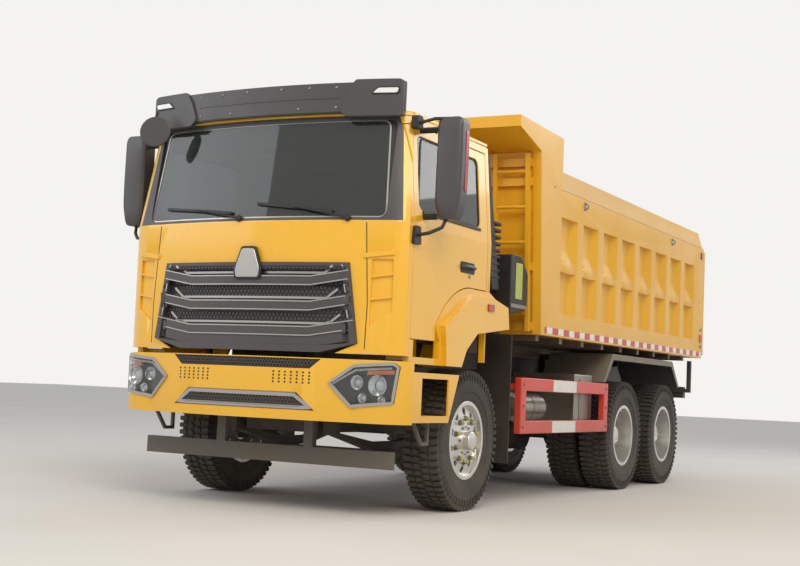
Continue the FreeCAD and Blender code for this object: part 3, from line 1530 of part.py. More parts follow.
def fender():
    """The flare over the front wheel and the liner under it."""
    outline = [
        ("-flare_front_y", "cab_low"),
        ("-flare_front_y - flare_wall", "sill_high"),
        ("-seam_front_y + door_gap/2", "seam_low - door_gap"),
        ("-seam_top_y + door_gap/4", "seam_top - door_gap"),
        ("cab_rear_y", "seam_top - door_gap"),
        ("flare_rear_y - flare_wall", "seam_top - flare_drop"),
        ("flare_rear_y", "flare_low_rear"),
        ("-arch_y*3", "arch_top_z"),
        ("-arch_mid_y", "arch_mid_z"),
        ("-arch_front_y", "cab_low"),
    ]
    face = prism("YZ", outline, ("cab_half - cab_wall", "cab_half"),
                 {2: ("seam_radius - door_gap", -1)})
    flare = prism("YZ", [
        ("-flare_front_y", "cab_low"),
        ("-flare_front_y - flare_wall/2", "sill_high"),
        ("-seam_front_y + 2*flare_wall", "seam_low"),
        ("-seam_top_y", "seam_top - 2*flare_wall"),
        ("cab_rear_y", "seam_top - 2*flare_wall"),
        ("flare_rear_y - flare_wall", "seam_top - flare_drop"),
        ("flare_rear_y", "flare_low_rear"),
        ("-arch_y*3", "arch_top_z"),
        ("-arch_mid_y", "arch_mid_z"),
        ("-arch_front_y", "cab_low"),
    ], ("cab_half", "flare_x"))
    liner = prism("YZ", [
        ("-arch_front_y", "cab_low"),
        ("-arch_mid_y", "arch_mid_z"),
        ("-arch_y*3", "arch_top_z"),
        ("flare_rear_y", "flare_low_rear"),
        ("flare_rear_y", "flare_low_rear + flare_wall"),
        ("-arch_y*3", "arch_top_z + flare_wall"),
        ("-arch_mid_y - flare_wall", "arch_mid_z + flare_wall"),
        ("-arch_front_y - flare_wall", "cab_low"),
    ], ("flare_inner_x", "cab_half"))
    return face, flare, liner


def upper_step():
    """The recessed door sill: a tread with a riser behind it."""
    y = ("-door_front_y + cab_wall", "-flare_front_y - flare_wall")
    tread = box(("tread_x", "cab_half"), y, ("cab_low + tread_wall", "cab_low + 2*tread_wall"))
    riser = box(("tread_x - tread_wall", "tread_x"), y, ("cab_low + tread_wall", "floor_z"))
    return tread, riser


def cab_floor():
    """Floor with the engine's tunnel, and the ears that the cab tilts on."""
    top = "floor_z + floor_wall"
    side = "cab_half - cab_wall"
    rear = "cab_rear_y - cab_wall"
    front = "-nose_side_y + cab_wall"
    nose = "-belt_y + cab_wall"
    plate = box((f"-({side})", side), (front, rear), ("floor_z", top))
    toe = box(("-nose_x + cab_wall", "nose_x - cab_wall"), (nose, front), ("floor_z", top))
    hood = box(("-tunnel_half", "tunnel_half"), (nose, rear), ("floor_z", "tunnel_top"))
    hollow = box(("-tunnel_half + floor_wall", "tunnel_half - floor_wall"),
                 (f"{nose} + floor_wall", rear), ("floor_z", "tunnel_top - floor_wall"))
    notch = box(("flare_inner_x", "cab_half"), ("-arch_mid_y - 2*flare_wall", rear), ("floor_z", top))
    body = cut(fuse(plate, toe, hood), hollow, notch, mirrored(notch))
    ear_x = ("cab_ear_x", "cab_ear_x + cab_ear_wall")
    ear = prism("YZ", [
        ("-cab_hinge_y", "cab_hinge_z - cab_ear_half"),
        ("-cab_hinge_y + 4*cab_ear_half", "cab_hinge_z - cab_ear_half"),
        ("-cab_hinge_y + 4*cab_ear_half", "floor_z"),
        ("-cab_hinge_y + 3*cab_ear_half", "floor_z"),
        ("-cab_hinge_y + 3*cab_ear_half", "cab_hinge_z + cab_ear_half"),
        ("-cab_hinge_y", "cab_hinge_z + cab_ear_half"),
    ], ear_x)
    eye = rod("x", ("-cab_hinge_y", "cab_hinge_z"), ear_x, "cab_ear_half")
    bore = rod("x", ("-cab_hinge_y", "cab_hinge_z"), ear_x, "cab_hinge_radius + running_gap")
    arm = cut(fuse(ear, eye), bore)
    keep(fuse(body, arm, mirrored(arm)), "cab_floor")


def windscreen():
    glass = cut(cab_loft("screen_depth"), cab_loft("screen_depth + glass_wall"))
    pane = prism("XZ", rectangle(("-screen_half", "screen_half"), ("screen_low", "screen_high")),
                 ("-front_overhang", "-door_front_y - door_gap"), rounds={"window_round": [0, 1, 2, 3]})
    keep(common(glass, pane), "windscreen")


def grille_prism(low, inset="0"):
    """The grille's outline, run through the front panel."""
    return prism("XZ", [
        (f"-grille_chin + {inset}/2", low),
        (f"grille_chin - {inset}/2", low),
        (f"grille_half_low - {inset}", "grille_shoulder"),
        (f"grille_half_top - {inset}", f"grille_top - {inset}"),
        (f"-grille_half_top + {inset}", f"grille_top - {inset}"),
        (f"-grille_half_low + {inset}", "grille_shoulder"),
    ], ("-front_overhang", "-nose_side_y"))


def grille():
    """A dark backing with a frame round it and wide bars across."""
    layer = cut(cab_loft("-grille_proud"), cab_loft("grille_depth"))
    backing = cut(cab_loft("glass_wall*2"), cab_loft("grille_depth"))
    whole = grille_prism("grille_low")
    ring = cut(whole, grille_prism("grille_low + grille_frame", "grille_frame"))
    bars = []
    for index in range(int(SIZES["grille_bars"])):
        z = f"grille_shoulder + (grille_top - grille_shoulder)*({index} + 0.6)/(grille_bars + 0.4)"
        bars.append(box(("-grille_half_top", "grille_half_top"), ("-front_overhang", "-nose_side_y"),
                        (f"{z} - grille_bar/2", f"{z} + grille_bar/2")))
    lattice = common(fuse(ring, *bars), whole)
    keep(fuse(common(layer, lattice), common(backing, whole)), "grille")


def sun_visor():
    """The bowed visor ahead of the roof, on brackets from the roof's front."""
    front = "-brow_y - visor_forward/4"
    plate = prism("XY", [
        ("visor_half", f"{front} + visor_wall"),
        ("visor_half", front),
        ("-visor_half", front),
        ("-visor_half", f"{front} + visor_wall"),
    ], ("visor_low", "visor_high"), {1: ("nose_bow", -1), 3: ("nose_bow - visor_wall", 1)})
    brackets = []
    for x, reach in (("brow_x/3", "visor_forward*1.07"), ("brow_x*3/4", "visor_forward*0.66")):
        bracket = box((f"{x} - visor_wall", f"{x} + visor_wall"),
                      (f"{front} - {reach}", "-brow_side_y"),
                      ("cab_top", "cab_top + 2*visor_wall"))
        brackets += [bracket, mirrored(bracket)]
    keep(fuse(plate, *brackets), "sun_visor")


def cab_interior():
    """Two seats, the dashboard on its legs and the steering wheel."""
    floor_top = "floor_z + floor_wall"
    pieces = []
    for sign in ("", "-"):
        x = (f"{sign}seat_x - seat_width/2", f"{sign}seat_x + seat_width/2")
        rear = "seat_y + seat_depth"
        base = box((f"{sign}seat_x - seat_width/4", f"{sign}seat_x + seat_width/4"),
                   ("seat_y + seat_cushion", rear), (floor_top, "seat_z"))
        cushion = prism("YZ", rectangle(("seat_y", rear), ("seat_z", "seat_z + seat_cushion")), x,
                        rounds={"seat_round": [0, 3]})
        back = prism("YZ", [
            (f"{rear} - seat_cushion", "seat_z"),
            (rear, "seat_z"),
            (f"{rear} + seat_round", "seat_z + seat_back"),
            (f"{rear} - seat_cushion/2", "seat_z + seat_back"),
        ], x, rounds={"seat_round/2": [2, 3]})
        pieces.append(fuse(base, cushion, back))
    dash = prism("YZ", [
        ("-dash_front_y + cab_wall", "dash_low"),
        ("-dash_rear_y - seat_round", "dash_low"),
        ("-dash_rear_y", "dash_high - 2*seat_round"),
        ("-dash_rear_y - seat_round", "dash_high"),
        ("-dash_front_y + cab_wall", "dash_high"),
    ], ("-dash_half", "dash_half"))
    nose = box(("-nose_x + 2*cab_wall", "nose_x - 2*cab_wall"),
               ("-belt_y + cab_wall", "-dash_front_y + cab_wall"), ("dash_low", "dash_high"))
    legs = []
    for x in ("dash_half - floor_wall", "-dash_half"):
        legs.append(box((x, f"{x} + floor_wall"), ("-dash_front_y + cab_wall", "-dash_rear_y - 2*seat_round"),
                        (floor_top, "dash_low")))
    wheel = doc.addObject("Part::Torus", "SteeringRim")
    bind(wheel, "Radius1", "steer_radius")
    bind(wheel, "Radius2", "steer_rim")
    tilt = FreeCAD.Rotation(FreeCAD.Vector(1, 0, 0), number("steer_tilt"))
    wheel.Placement = FreeCAD.Placement(FreeCAD.Vector(), tilt)
    move(wheel, "steer_x", "steer_y", "steer_z")
    column = doc.addObject("Part::Cylinder", "Column")
    bind(column, "Radius", "steer_rim*2")
    bind(column, "Height", "steer_radius*1.4")
    column.Placement = FreeCAD.Placement(FreeCAD.Vector(), tilt)
    move(column, "steer_x", "steer_y + steer_radius*1.3*sin(steer_tilt)",
         "steer_z - steer_radius*1.3*cos(steer_tilt)")
    spoke = box(("steer_x - steer_radius", "steer_x + steer_radius"),
                ("steer_y - steer_rim", "steer_y + steer_rim"),
                ("steer_z - steer_rim/2", "steer_z + steer_rim/2"))
    keep(together(*pieces, fuse(dash, nose, *legs, wheel, column, spoke)), "cab_interior")


def air_duct():
    """The intake duct down the cab's rear left edge."""
    duct = prism("YZ", [
        ("cab_rear_y", "duct_high"),
        ("cab_rear_y + duct_depth/2", "duct_high + duct_depth/3"),
        ("flare_rear_y + duct_depth/2", "duct_low"),
        ("flare_rear_y - duct_depth/2", "duct_low"),
        ("cab_rear_y", "duct_high - 3*duct_depth"),
    ], ("duct_inner_x", "duct_outer_x"))
    keep(duct, "air_duct")


def doors():
    """Each door's panel with its window cut, its glass and its mirror."""
    shell = cut(cab_loft(), cab_loft("cab_wall", "cab_top - roof_wall"))
    region = prism("YZ", door_outline(), ("cab_top_half - 2*cab_wall", "flare_x"),
                   {2: ("seam_radius", -1)})
    panel = cut(common(shell, region), window_prism())
    keep(together(panel), "door_left")
    keep(mirrored(panel), "door_right")
    sheet_glass = cut(cab_loft("screen_depth"), cab_loft("screen_depth + glass_wall"))
    glass = common(sheet_glass, window_prism())
    keep(together(glass), "door_glass_left")
    keep(mirrored(glass), "door_glass_right")

    housing = prism("XZ", rectangle(
        ("mirror_x - mirror_wide/2", "mirror_x + mirror_wide/2"), ("mirror_low", "mirror_high")),
        ("-mirror_front_y", "-mirror_rear_y"), rounds={"mirror_round": [0, 1, 2, 3]})
    arms = []
    for z in ("window_high + mirror_arm*2", "window_low - mirror_arm*2"):
        arms.append(rod("x", ("-mirror_front_y + mirror_wide/3", z),
                        ("cab_top_half - cab_wall", "mirror_x - mirror_wide/4"), "mirror_arm"))
    mirror = fuse(housing, cut(fuse(*arms), cab_loft()))
    keep(together(mirror), "mirror_left")
    keep(mirrored(mirror), "mirror_right")


# Bumper and what it carries.

def bumper_plan(inset, rear):
    points = [
        (f"bumper_half - ({inset})", f"{rear}"),
        (f"bumper_half - ({inset})", "-bumper_side_y"),
        (f"bumper_nose_x - ({inset})/2", f"-bumper_y + ({inset})"),
        (f"-bumper_nose_x + ({inset})/2", f"-bumper_y + ({inset})"),
        (f"-bumper_half + ({inset})", "-bumper_side_y"),
        (f"-bumper_half + ({inset})", f"{rear}"),
    ]
    corner = (f"bumper_round - ({inset})", -1)
    return points, {1: corner, 2: (f"bumper_bow - ({inset})", -1), 3: corner}


def bumper_form(inset, rear="-bumper_side_y + bumper_skin", span=("bumper_low", "bumper_high")):
    points, arcs = bumper_plan(inset, rear)
    return prism("XY", points, span, arcs)


def lamp_prism():
    return prism("XZ", [
        ("lamp_low_in_x", "lamp_low_z"),
        ("lamp_out_x - 2*loop_tube", "lamp_out_z"),
        ("lamp_out_x", "lamp_top_z - 2*loop_tube"),
        ("lamp_out_x - 2*loop_tube", "lamp_top_z"),
        ("lamp_low_in_x + loop_tube", "lamp_top_z - 2*loop_tube"),
        ("lamp_in_x", "lamp_in_z"),
    ], ("-front_overhang - bumper_wall", "-bumper_side_y"))


def bumper():
    """The bowed bumper with its wings, lower steps and brackets, and the headlamps."""
    skin = cut(bumper_form("0"), bumper_form("bumper_skin", "-bumper_side_y + bumper_wall",
                                             ("bumper_low - 1", "bumper_high + 1")))
    lamps = [lamp_prism(), mirrored(lamp_prism())]
    intake = prism("XZ", [
        ("-intake_half_low", "intake_low"),
        ("intake_half_low", "intake_low"),
        ("intake_half_high", "intake_high"),
        ("-intake_half_high", "intake_high"),
    ], ("-front_overhang - bumper_wall", "-bumper_y"))
    pane = cut(bumper_form("bumper_skin/2"), bumper_form("bumper_skin + 1", "-bumper_side_y + bumper_wall",
                                                         ("bumper_low - 1", "bumper_high + 1")))
    face = fuse(cut(skin, *lamps, intake), common(pane, intake))

    wing = prism("YZ", [
        ("-bumper_side_y", "wing_low"),
        ("-wing_rear_low_y", "wing_low"),
        ("-wing_rear_top_y", "wing_top"),
        ("-bumper_side_y", "wing_top"),
    ], ("bumper_half - bumper_skin", "bumper_half"))
    y = ("-loop_front_y", "-wing_rear_low_y - loop_tube")
    step_y = ("-loop_front_y", "-lower_step_y")
    hole = box(("0", "flare_x"), y, ("lower_step_z", "wing_top - 2*wing_round"))
    tread = box(("lower_step_x", "bumper_half - bumper_skin/2"), step_y, ("lower_step_z - bumper_skin", "lower_step_z"))
    riser = box(("lower_step_x - bumper_skin", "lower_step_x"), step_y,
                ("lower_step_z - bumper_skin", "wing_top - 2*wing_round"))
    end = box(("lower_step_x - bumper_skin", "bumper_half - bumper_skin/2"),
              ("-loop_front_y - bumper_skin", "-loop_front_y"),
              ("lower_step_z - bumper_skin", "wing_top - 2*wing_round"))
    side = fuse(cut(wing, hole), tread, riser, end)
    bracket = box(("frame_half - rail_flange", "frame_half"), ("-front_overhang + 3*bumper_skin", "rail_front_y"),
                  ("rail_bottom + bumper_wall", "rail_bottom + 4*bumper_wall"))
    bracket = common(bracket, bumper_form("bumper_skin/2", "rail_front_y", ("bumper_low", "bumper_high")))
    brace = box(("frame_half - rail_flange", "frame_half"), ("-bumper_side_y - 2*bumper_wall", "rail_front_y"),
                ("rail_bottom + bumper_wall", "rail_bottom + 4*bumper_wall"))
    keep(fuse(face, side, mirrored(side), bracket, mirrored(bracket), brace, mirrored(brace)), "bumper")

    lens = cut(bumper_form("-lamp_proud"),
               bumper_form("bumper_wall", "-bumper_side_y + bumper_wall", ("bumper_low - 1", "bumper_high + 1")))
    keep(both_sides(common(lens, lamp_prism())), "headlamps")


def front_bar():
    """The low bar across the front on its hangers, and the bent steps under the wings."""
    bar = box(("-bar_half", "bar_half"), ("-bar_y", "-bar_y + bar_depth"), ("bar_low", "bar_high"))
    hangers = []
    for x in ("frame_half - rail_flange", "-frame_half"):
        hangers.append(box((x, f"{x} + rail_flange"), ("-bar_y", "-bar_y + bar_depth"),
                           ("bar_high - bar_hanger", "rail_bottom")))
    x = ("loop_x - loop_tube", "loop_x + loop_tube")
    top = "lower_step_z - bumper_skin"
    loop = prism("YZ", [
        ("-loop_front_y + loop_tube", top),
        ("-lower_step_y - 9*loop_tube", "loop_low"),
        ("-lower_step_y", "loop_low"),
        ("-lower_step_y", top),
        ("-lower_step_y - 2*loop_tube", top),
        ("-lower_step_y - 2*loop_tube", "loop_low + 2*loop_tube"),
        ("-lower_step_y - 8*loop_tube", "loop_low + 2*loop_tube"),
        ("-loop_front_y + 3*loop_tube", top),
    ], x)
    keep(together(fuse(bar, *hangers), both_sides(loop)), "front_bar_steps")


def main():
    """Every sub-part in turn, checked and then written."""
    cab_panels()
    cab_floor()
    windscreen()
    grille()
    sun_visor()
    cab_interior()
    air_duct()
    doors()
    bumper()
    front_bar()
    wheels()
    front_axle()
    for side in ("left", "right"):
        knuckle(side)
    tie_rod()
    leaf_springs()
    frame()
    rear_axles()
    engine()
    subframe()
    hoist()
    body_floor()
    body_side()
    headboard()
    ladder()
    tailgate()
    side_guards()
    tanks()
    exhaust()
    mudguards()
    rear_lamps()
    air_filter()
    doc.recompute()
    write_parts()


def write_parts():
    """Check every object's state and every sub-part's shape, then write one file each."""
    for obj in doc.Objects:
        bad = {"Invalid", "Error"} & set(obj.State)
        if bad:
            raise RuntimeError(f"{obj.Name} ({obj.Label}) is {sorted(bad)}")
    for node in NODES:
        if node.Shape.isNull() or not node.Shape.isValid() or not node.Shape.Solids:
            raise RuntimeError(f"{node.Label} has no valid solid")
    os.makedirs("parts", exist_ok=True)
    for node in NODES:
        node.Shape.exportStep(f"parts/{node.Label}.step")
        print(node.Label, len(node.Shape.Solids), round(node.Shape.Volume / 1e9, 5))


main()
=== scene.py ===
import json
import math

import bmesh
import bpy
from mathutils import Matrix, Vector
from mathutils.bvhtree import BVHTree


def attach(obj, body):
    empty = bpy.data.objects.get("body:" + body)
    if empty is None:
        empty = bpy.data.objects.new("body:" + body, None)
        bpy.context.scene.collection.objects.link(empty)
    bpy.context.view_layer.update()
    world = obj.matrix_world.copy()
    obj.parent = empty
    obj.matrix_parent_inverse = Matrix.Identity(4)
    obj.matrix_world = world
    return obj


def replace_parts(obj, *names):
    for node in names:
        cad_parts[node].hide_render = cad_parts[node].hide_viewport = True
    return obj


bl_info = {
    "name": "Dump truck dressing",
    "version": (1, 0, 0),
    "blender": (4, 5, 0),
    "location": "3D View > Sidebar > Truck",
    "description": "Finishes and small parts for a three-axle dump truck",
    "category": "Object",
}

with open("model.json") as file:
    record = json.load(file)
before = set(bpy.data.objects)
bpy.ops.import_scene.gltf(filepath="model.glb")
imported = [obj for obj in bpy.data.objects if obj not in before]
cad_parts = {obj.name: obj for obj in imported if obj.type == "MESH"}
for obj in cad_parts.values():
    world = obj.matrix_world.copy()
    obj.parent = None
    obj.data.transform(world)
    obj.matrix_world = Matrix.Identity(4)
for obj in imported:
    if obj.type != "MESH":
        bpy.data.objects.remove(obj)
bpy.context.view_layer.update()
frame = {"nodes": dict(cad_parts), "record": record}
NODES = frame["nodes"]
NODE_BODY = {node: body for body, nodes in frame["record"]["behaviour"]["bodies"].items()
             for node in nodes}

# The front axle stands this far ahead of the origin, and lengths are given from it.
FRONT_AXLE = -2.5
WHEEL_Z = 0.54
SIDES = (("left", 1), ("right", -1))
# Each axle: name, nodes of tyre and rim, y, tyre x, distance to the twin, x of the wheel nuts,
# x and radius of the hub's bolts, and the disc's faces
TWIN = (1.075, 0.345, 0.934, 1.118, 0.098, (0.8225, 0.9825))
AXLES = (("front", "tyre_front", "rim_front", 0.0, 1.03, 0.0, 1.145, 1.15, 0.105, (1.059, 1.15)),
         ("mid", "tyres_mid", "rims_mid", 3.625, *TWIN),
         ("rear", "tyres_rear", "rims_rear", 4.975, *TWIN))
# A wheel's nuts and hand holes, with the radius of their circles; the tread's rows of blocks
WHEEL_NUTS = 10
HUB_BOLTS = 12
NUT_CIRCLE = 0.1675
HOLE_CIRCLE = 0.222
TREAD_ROWS = 60
# The recesses in the body's sides: how many, the first one's middle and the pitch
RECESSES = 8
RECESS_Y = 1.825
RECESS_PITCH = 0.556


# Finishes

def linear(colour):
    """An sRGB hex colour as linear light with full alpha."""
    channels = [int(colour[i:i + 2], 16) / 255 for i in (1, 3, 5)]
    return tuple(c / 12.92 if c <= 0.04045 else ((c + 0.055) / 1.055) ** 2.4 for c in channels) + (1.0,)


def add(tree, kind, links=None, **settings):
    """A node of a kind in a tree. Settings are its attributes, links its inputs by name or number."""
    node = tree.nodes.new(kind)
    for name, value in settings.items():
        setattr(node, name, value)
    for name, value in (links or {}).items():
        socket = node.inputs[name]
        if isinstance(value, bpy.types.NodeSocket):
            tree.links.new(value, socket)
        else:
            socket.default_value = value
    return node


def mixed(tree, factor, *tones):
    """Two colours mixed, each a socket or a hex colour."""
    one, other = (linear(tone) if isinstance(tone, str) else tone for tone in tones)
    blend = add(tree, "ShaderNodeMix", {"Factor": factor, "A": one, "B": other}, data_type="RGBA")
    return blend.outputs["Result"]


def noise(tree, place, scale, detail, rough):
    links = {"Vector": place, "Scale": scale, "Detail": detail, "Roughness": rough}
    return add(tree, "ShaderNodeTexNoise", links).outputs["Fac"]


def ranged(tree, value, low, high, start, end):
    """A value between low and high as one between start and end."""
    links = {"Value": value, "From Min": low, "From Max": high, "To Min": start, "To Max": end}
    return add(tree, "ShaderNodeMapRange", links).outputs["Result"]


def maths(tree, operation, one, other, **settings):
    return add(tree, "ShaderNodeMath", {0: one, 1: other}, operation=operation, **settings).outputs[0]


def cleared(holder):
    """The emptied node tree of a material or world."""
    holder.use_nodes = True
    holder.node_tree.nodes.clear()
    return holder.node_tree


def finish(name, colour, shade, rough, patch, grain, bump, metal=0.0, spread=0.08,
           dust=None, dust_top=0.0, dust_colour="#8C8069", **shader):
    """
    A surface whose colour drifts from one tone to another in patches of one size,
    with a finer grain that lifts it, and road dust that fades out upwards.
    patch, grain and bump are in metres.
    """
    material = bpy.data.materials.new(name)
    material.diffuse_color = linear(colour)
    tree = cleared(material)
    place = add(tree, "ShaderNodeTexCoord").outputs["Object"]
    patches = noise(tree, place, 1 / patch, 4.0, 0.55)
    tone = mixed(tree, patches, colour, shade)
    if dust:
        height = add(tree, "ShaderNodeSeparateXYZ", {"Vector": place}).outputs["Z"]
        low = ranged(tree, height, 0.1, dust_top, dust, 0.0)
        cloud = noise(tree, place, 3.3, 6.0, 0.62)
        tone = mixed(tree, maths(tree, "MULTIPLY", low, cloud, use_clamp=True), tone, dust_colour)
    rub = ranged(tree, patches, 0.3, 0.7, max(0.02, rough - spread), min(1.0, rough + spread))
    fine = noise(tree, place, 1 / grain, 2.0, 0.5)
    lift = add(tree, "ShaderNodeBump", {"Height": fine, "Strength": 0.6, "Distance": bump})
    body = add(tree, "ShaderNodeBsdfPrincipled", {"Base Color": tone, "Metallic": metal,
                                                  "Roughness": rub, "Normal": lift.outputs["Normal"]})
    for socket, value in shader.items():
        body.inputs[socket.replace("_", " ")].default_value = value
    add(tree, "ShaderNodeOutputMaterial", {"Surface": body.outputs["BSDF"]})
    body.name = "Shader"
    return material


FINISH = {}


def mix(key, *look, **more):
    FINISH[key] = finish(*look, **more)


def mix_finishes():
    """Every finish on the truck, each from what the real surface is."""
    # Two-pack acrylic enamel under lacquer: an even warm yellow, slight orange peel, a hard shine.
    mix("cab_paint", "acrylic_enamel_yellow", "#F7BE26", "#F0B31C", 0.3, 0.9, 0.006, 4e-5,
        dust=0.35, dust_top=1.2, Coat_Weight=0.6, Coat_Roughness=0.08)
    # The same yellow sprayed on plate: duller, with dust low down and faint streaks.
    mix("body_paint", "sprayed_enamel_yellow", "#F2B929", "#E6AA20", 0.42, 0.7, 0.009, 8e-5,
        dust=0.45, dust_top=1.9, Coat_Weight=0.25, Coat_Roughness=0.2)
    # Bare rolled plate polished by loads, with scratches and rust in the corners.
    mix("load_floor", "worn_steel_plate", "#8D8171", "#6E5F4E", 0.5, 0.25, 0.012, 4e-4,
        metal=0.6, spread=0.15)
    # Chassis paint: satin black gone grey with road dust.
    mix("chassis_paint", "satin_chassis_paint", "#2E2C2A", "#3C3833", 0.55, 0.3, 0.004, 1e-4,
        dust=0.8, dust_top=1.5, dust_colour="#7A7062")
    # Sand-cast iron, painted grey and oily.
    mix("cast_iron", "painted_cast_iron", "#4A4744", "#353230", 0.6, 0.12, 0.004, 5e-4,
        metal=0.3, dust=0.6, dust_top=1.4)
    # Hard chrome on ground steel: a mirror with faint grinding.
    mix("chrome", "hard_chrome", "#D9DADB", "#C4C6C8", 0.12, 0.2, 0.002, 1e-5, metal=1.0, spread=0.04)
    # Moulded ABS in graphite: a fine even grain and a soft sheen.
    mix("grey", "graphite_moulded_abs", "#4C494A", "#454243", 0.42, 0.4, 0.002, 1.2e-4,
        dust=0.2, dust_top=1.6)
    # Blacker unpainted polypropylene for mesh, seals and liners.
    mix("black", "black_polypropylene", "#1D1C1C", "#272524", 0.55, 0.3, 0.002, 1e-4,
        dust=0.4, dust_top=1.3)
    # Silver lacquer over ABS on the grille's bars and frames.
    mix("silver", "silver_lacquered_abs", "#B9B5B1", "#A5A19D", 0.28, 0.3, 0.001, 2e-5,
        metal=0.75, spread=0.05)
    # Moulded trim inside the cab: matt, with a leather grain.
    mix("cab_trim", "grey_interior_pvc", "#5D5750", "#4D4843", 0.7, 0.3, 0.008, 4e-5)
    # Knitted seat cloth, dark grey.
    mix("seat_cloth", "knitted_seat_cloth", "#3E3A38", "#4B4643", 0.85, 0.05, 0.004, 6e-4,
        Sheen_Weight=0.3)
    # Laminated glass with a green-grey tint.
    mix("glass", "tinted_laminated_glass", "#737A76", "#6A716F", 0.03, 0.8, 0.4, 1e-5,
        spread=0.0, Transmission_Weight=0.85, IOR=1.5)
    # Clear polycarbonate lamp cover: clean, with a weak glint.
    mix("lamp_cover", "clear_polycarbonate", "#F2F4F5", "#ECEFF0", 0.03, 0.5, 0.3, 1e-5,
        spread=0.0, Transmission_Weight=1.0, IOR=1.5, Specular_IOR_Level=0.15)
    # Acrylic lenses, dyed through and glossy.
    mix("amber_lens", "amber_acrylic", "#E8731A", "#DB6415", 0.15, 0.05, 0.004, 3e-4, Coat_Weight=0.5)
    mix("red_lens", "red_acrylic", "#B3201A", "#9E1B16", 0.15, 0.05, 0.004, 3e-4, Coat_Weight=0.5)
    mix("white_lens", "frosted_acrylic", "#F1F2F2", "#E4E6E6", 0.2, 0.05, 0.004, 2e-4, Coat_Weight=0.5)
    # Powder-coated side guards in signal red.
    mix("guard_red", "powder_coat_red", "#DD3F2C", "#CF3524", 0.38, 0.4, 0.003, 1e-4,
        dust=0.5, dust_top=1.2, Coat_Weight=0.2)
    # White reflective film on the guards, with dust in its texture.
    mix("white_tape", "white_reflective_tape", "#ECEAE4", "#DEDBD2", 0.3, 0.1, 0.003, 5e-5,
        dust=0.3, dust_top=1.2)
    # Spun aluminium tanks, brushed round their length.
    mix("aluminium", "spun_aluminium", "#A9A49B", "#98928A", 0.36, 0.15, 0.003, 5e-5,
        metal=0.9, dust=0.7, dust_top=1.3)
    # Injection-moulded polypropylene mudguards in a weathered grey-green.
    mix("mudguard", "weathered_polypropylene", "#857D6E", "#776F61", 0.6, 0.3, 0.003, 2e-4,
        dust=0.5, dust_top=1.5)
    # Brown-grey enamel on the folded plate of the front bar.
    mix("bar_paint", "matt_plate_enamel", "#55514B", "#4B4741", 0.55, 0.3, 0.003, 1e-4,
        dust=0.6, dust_top=0.9)
    # Tyre rubber: matt, nearly black, dusty on the tread and bead.
    mix("tyre", "tyre_rubber", "#2B2927", "#35322E", 0.78, 0.12, 0.003, 3e-4,
        dust=0.75, dust_top=1.3, dust_colour="#6E6557")
    # Steel wheels in silver enamel.
    mix("wheel_steel", "silver_wheel_enamel", "#E2E0DC", "#D0CDC8", 0.24, 0.3, 0.003, 5e-5,
        metal=0.6, dust=0.35, dust_top=1.0, Coat_Weight=0.2)
    # Yellow-green caps moulded for the wheel nuts: soft and plain.
    mix("nut_cap", "moulded_nut_cap", "#B9B84A", "#A8A63E", 0.4, 0.05, 0.002, 1e-4)
    # Zinc-plated fasteners and bands: grey, half bright.
    mix("steel", "zinc_plated_steel", "#9A9793", "#84817D", 0.4, 0.05, 0.002, 5e-5, metal=0.9)
    # A plain printed film, lime green and satin.
    mix("label", "printed_film", "#B7C34A", "#A9B541", 0.35, 0.1, 0.002, 3e-5)
    FINISH["hazard_tape"] = striped_tape()
    # Silvered glass: a clean reflection.
    mix("mirror_glass", "silvered_mirror", "#C9CDD0", "#C0C4C8", 0.02, 0.5, 0.3, 1e-5,
        metal=1.0, spread=0.0)


def striped_tape():
    """Red and white retroreflective tape: blocks 140 mm red in every 270 mm."""
    tape = finish("red_white_reflective_tape", "#F0ECE4", "#E4DFD5", 0.3, 0.1, 0.003, 5e-5)
    tree = tape.node_tree
    colour = tree.nodes["Shader"].inputs["Base Color"]
    place = add(tree, "ShaderNodeTexCoord").outputs["Object"]
    along = add(tree, "ShaderNodeSeparateXYZ", {"Vector": place}).outputs["Y"]
    edge = maths(tree, "GREATER_THAN", maths(tree, "PINGPONG", along, 0.135), 0.065)
    tree.links.new(mixed(tree, edge, colour.links[0].from_socket, "#C8352B"), colour)
    return tape


# What each CAD node is made of
NODE_FINISH = {
    "cab_paint": "cab_front cab_sides cab_back cab_roof door_left door_right bumper",
    "body_paint": "body_side_left body_side_right headboard tailgate ladder",
    "load_floor": "body_floor",
    "chassis_paint": "frame subframe front_axle knuckle_left knuckle_right tie_rod leaf_springs "
                     "rear_axles cab_floor hoist_barrel rear_lamp_arms",
    "cast_iron": "engine",
    "chrome": "hoist_stage_1 hoist_stage_2 hoist_stage_3 hoist_stage_4",
    "grey": "grille sun_visor mirror_left mirror_right",
    "black": "air_duct air_filter silencer",
    "cab_trim": "cab_interior",
    "glass": "windscreen door_glass_left door_glass_right",
    "lamp_cover": "headlamps",
    "guard_red": "side_guards",
    "aluminium": "air_tanks_battery fuel_tank",
    "mudguard": "mudguards",
    "bar_paint": "front_bar_steps",
    "tyre": "tyre_front_left tyre_front_right tyres_mid_left tyres_mid_right tyres_rear_left "
            "tyres_rear_right",
    "wheel_steel": "rim_front_left rim_front_right rims_mid_left rims_mid_right rims_rear_left "
                   "rims_rear_right",
}
# The panels whose folds are eased, and by how much
PRESSED = {
    "cab_sides": 0.006, "cab_back": 0.004, "cab_roof": 0.012, "door_left": 0.004,
    "door_right": 0.004, "body_side_left": 0.008, "body_side_right": 0.008, "headboard": 0.006,
    "tailgate": 0.006, "sun_visor": 0.005, "side_guards": 0.008, "air_filter": 0.008,
    "air_duct": 0.012, "frame": 0.004, "front_bar_steps": 0.004, "fuel_tank": 0.008,
}


# Forms: a list of points and a list of faces

def joined(*forms):
    points, faces = [], []
    for some, sides in forms:
        start = len(points)
        points += [tuple(p) for p in some]
        faces += [[start + i for i in side] for side in sides]
    return points, faces


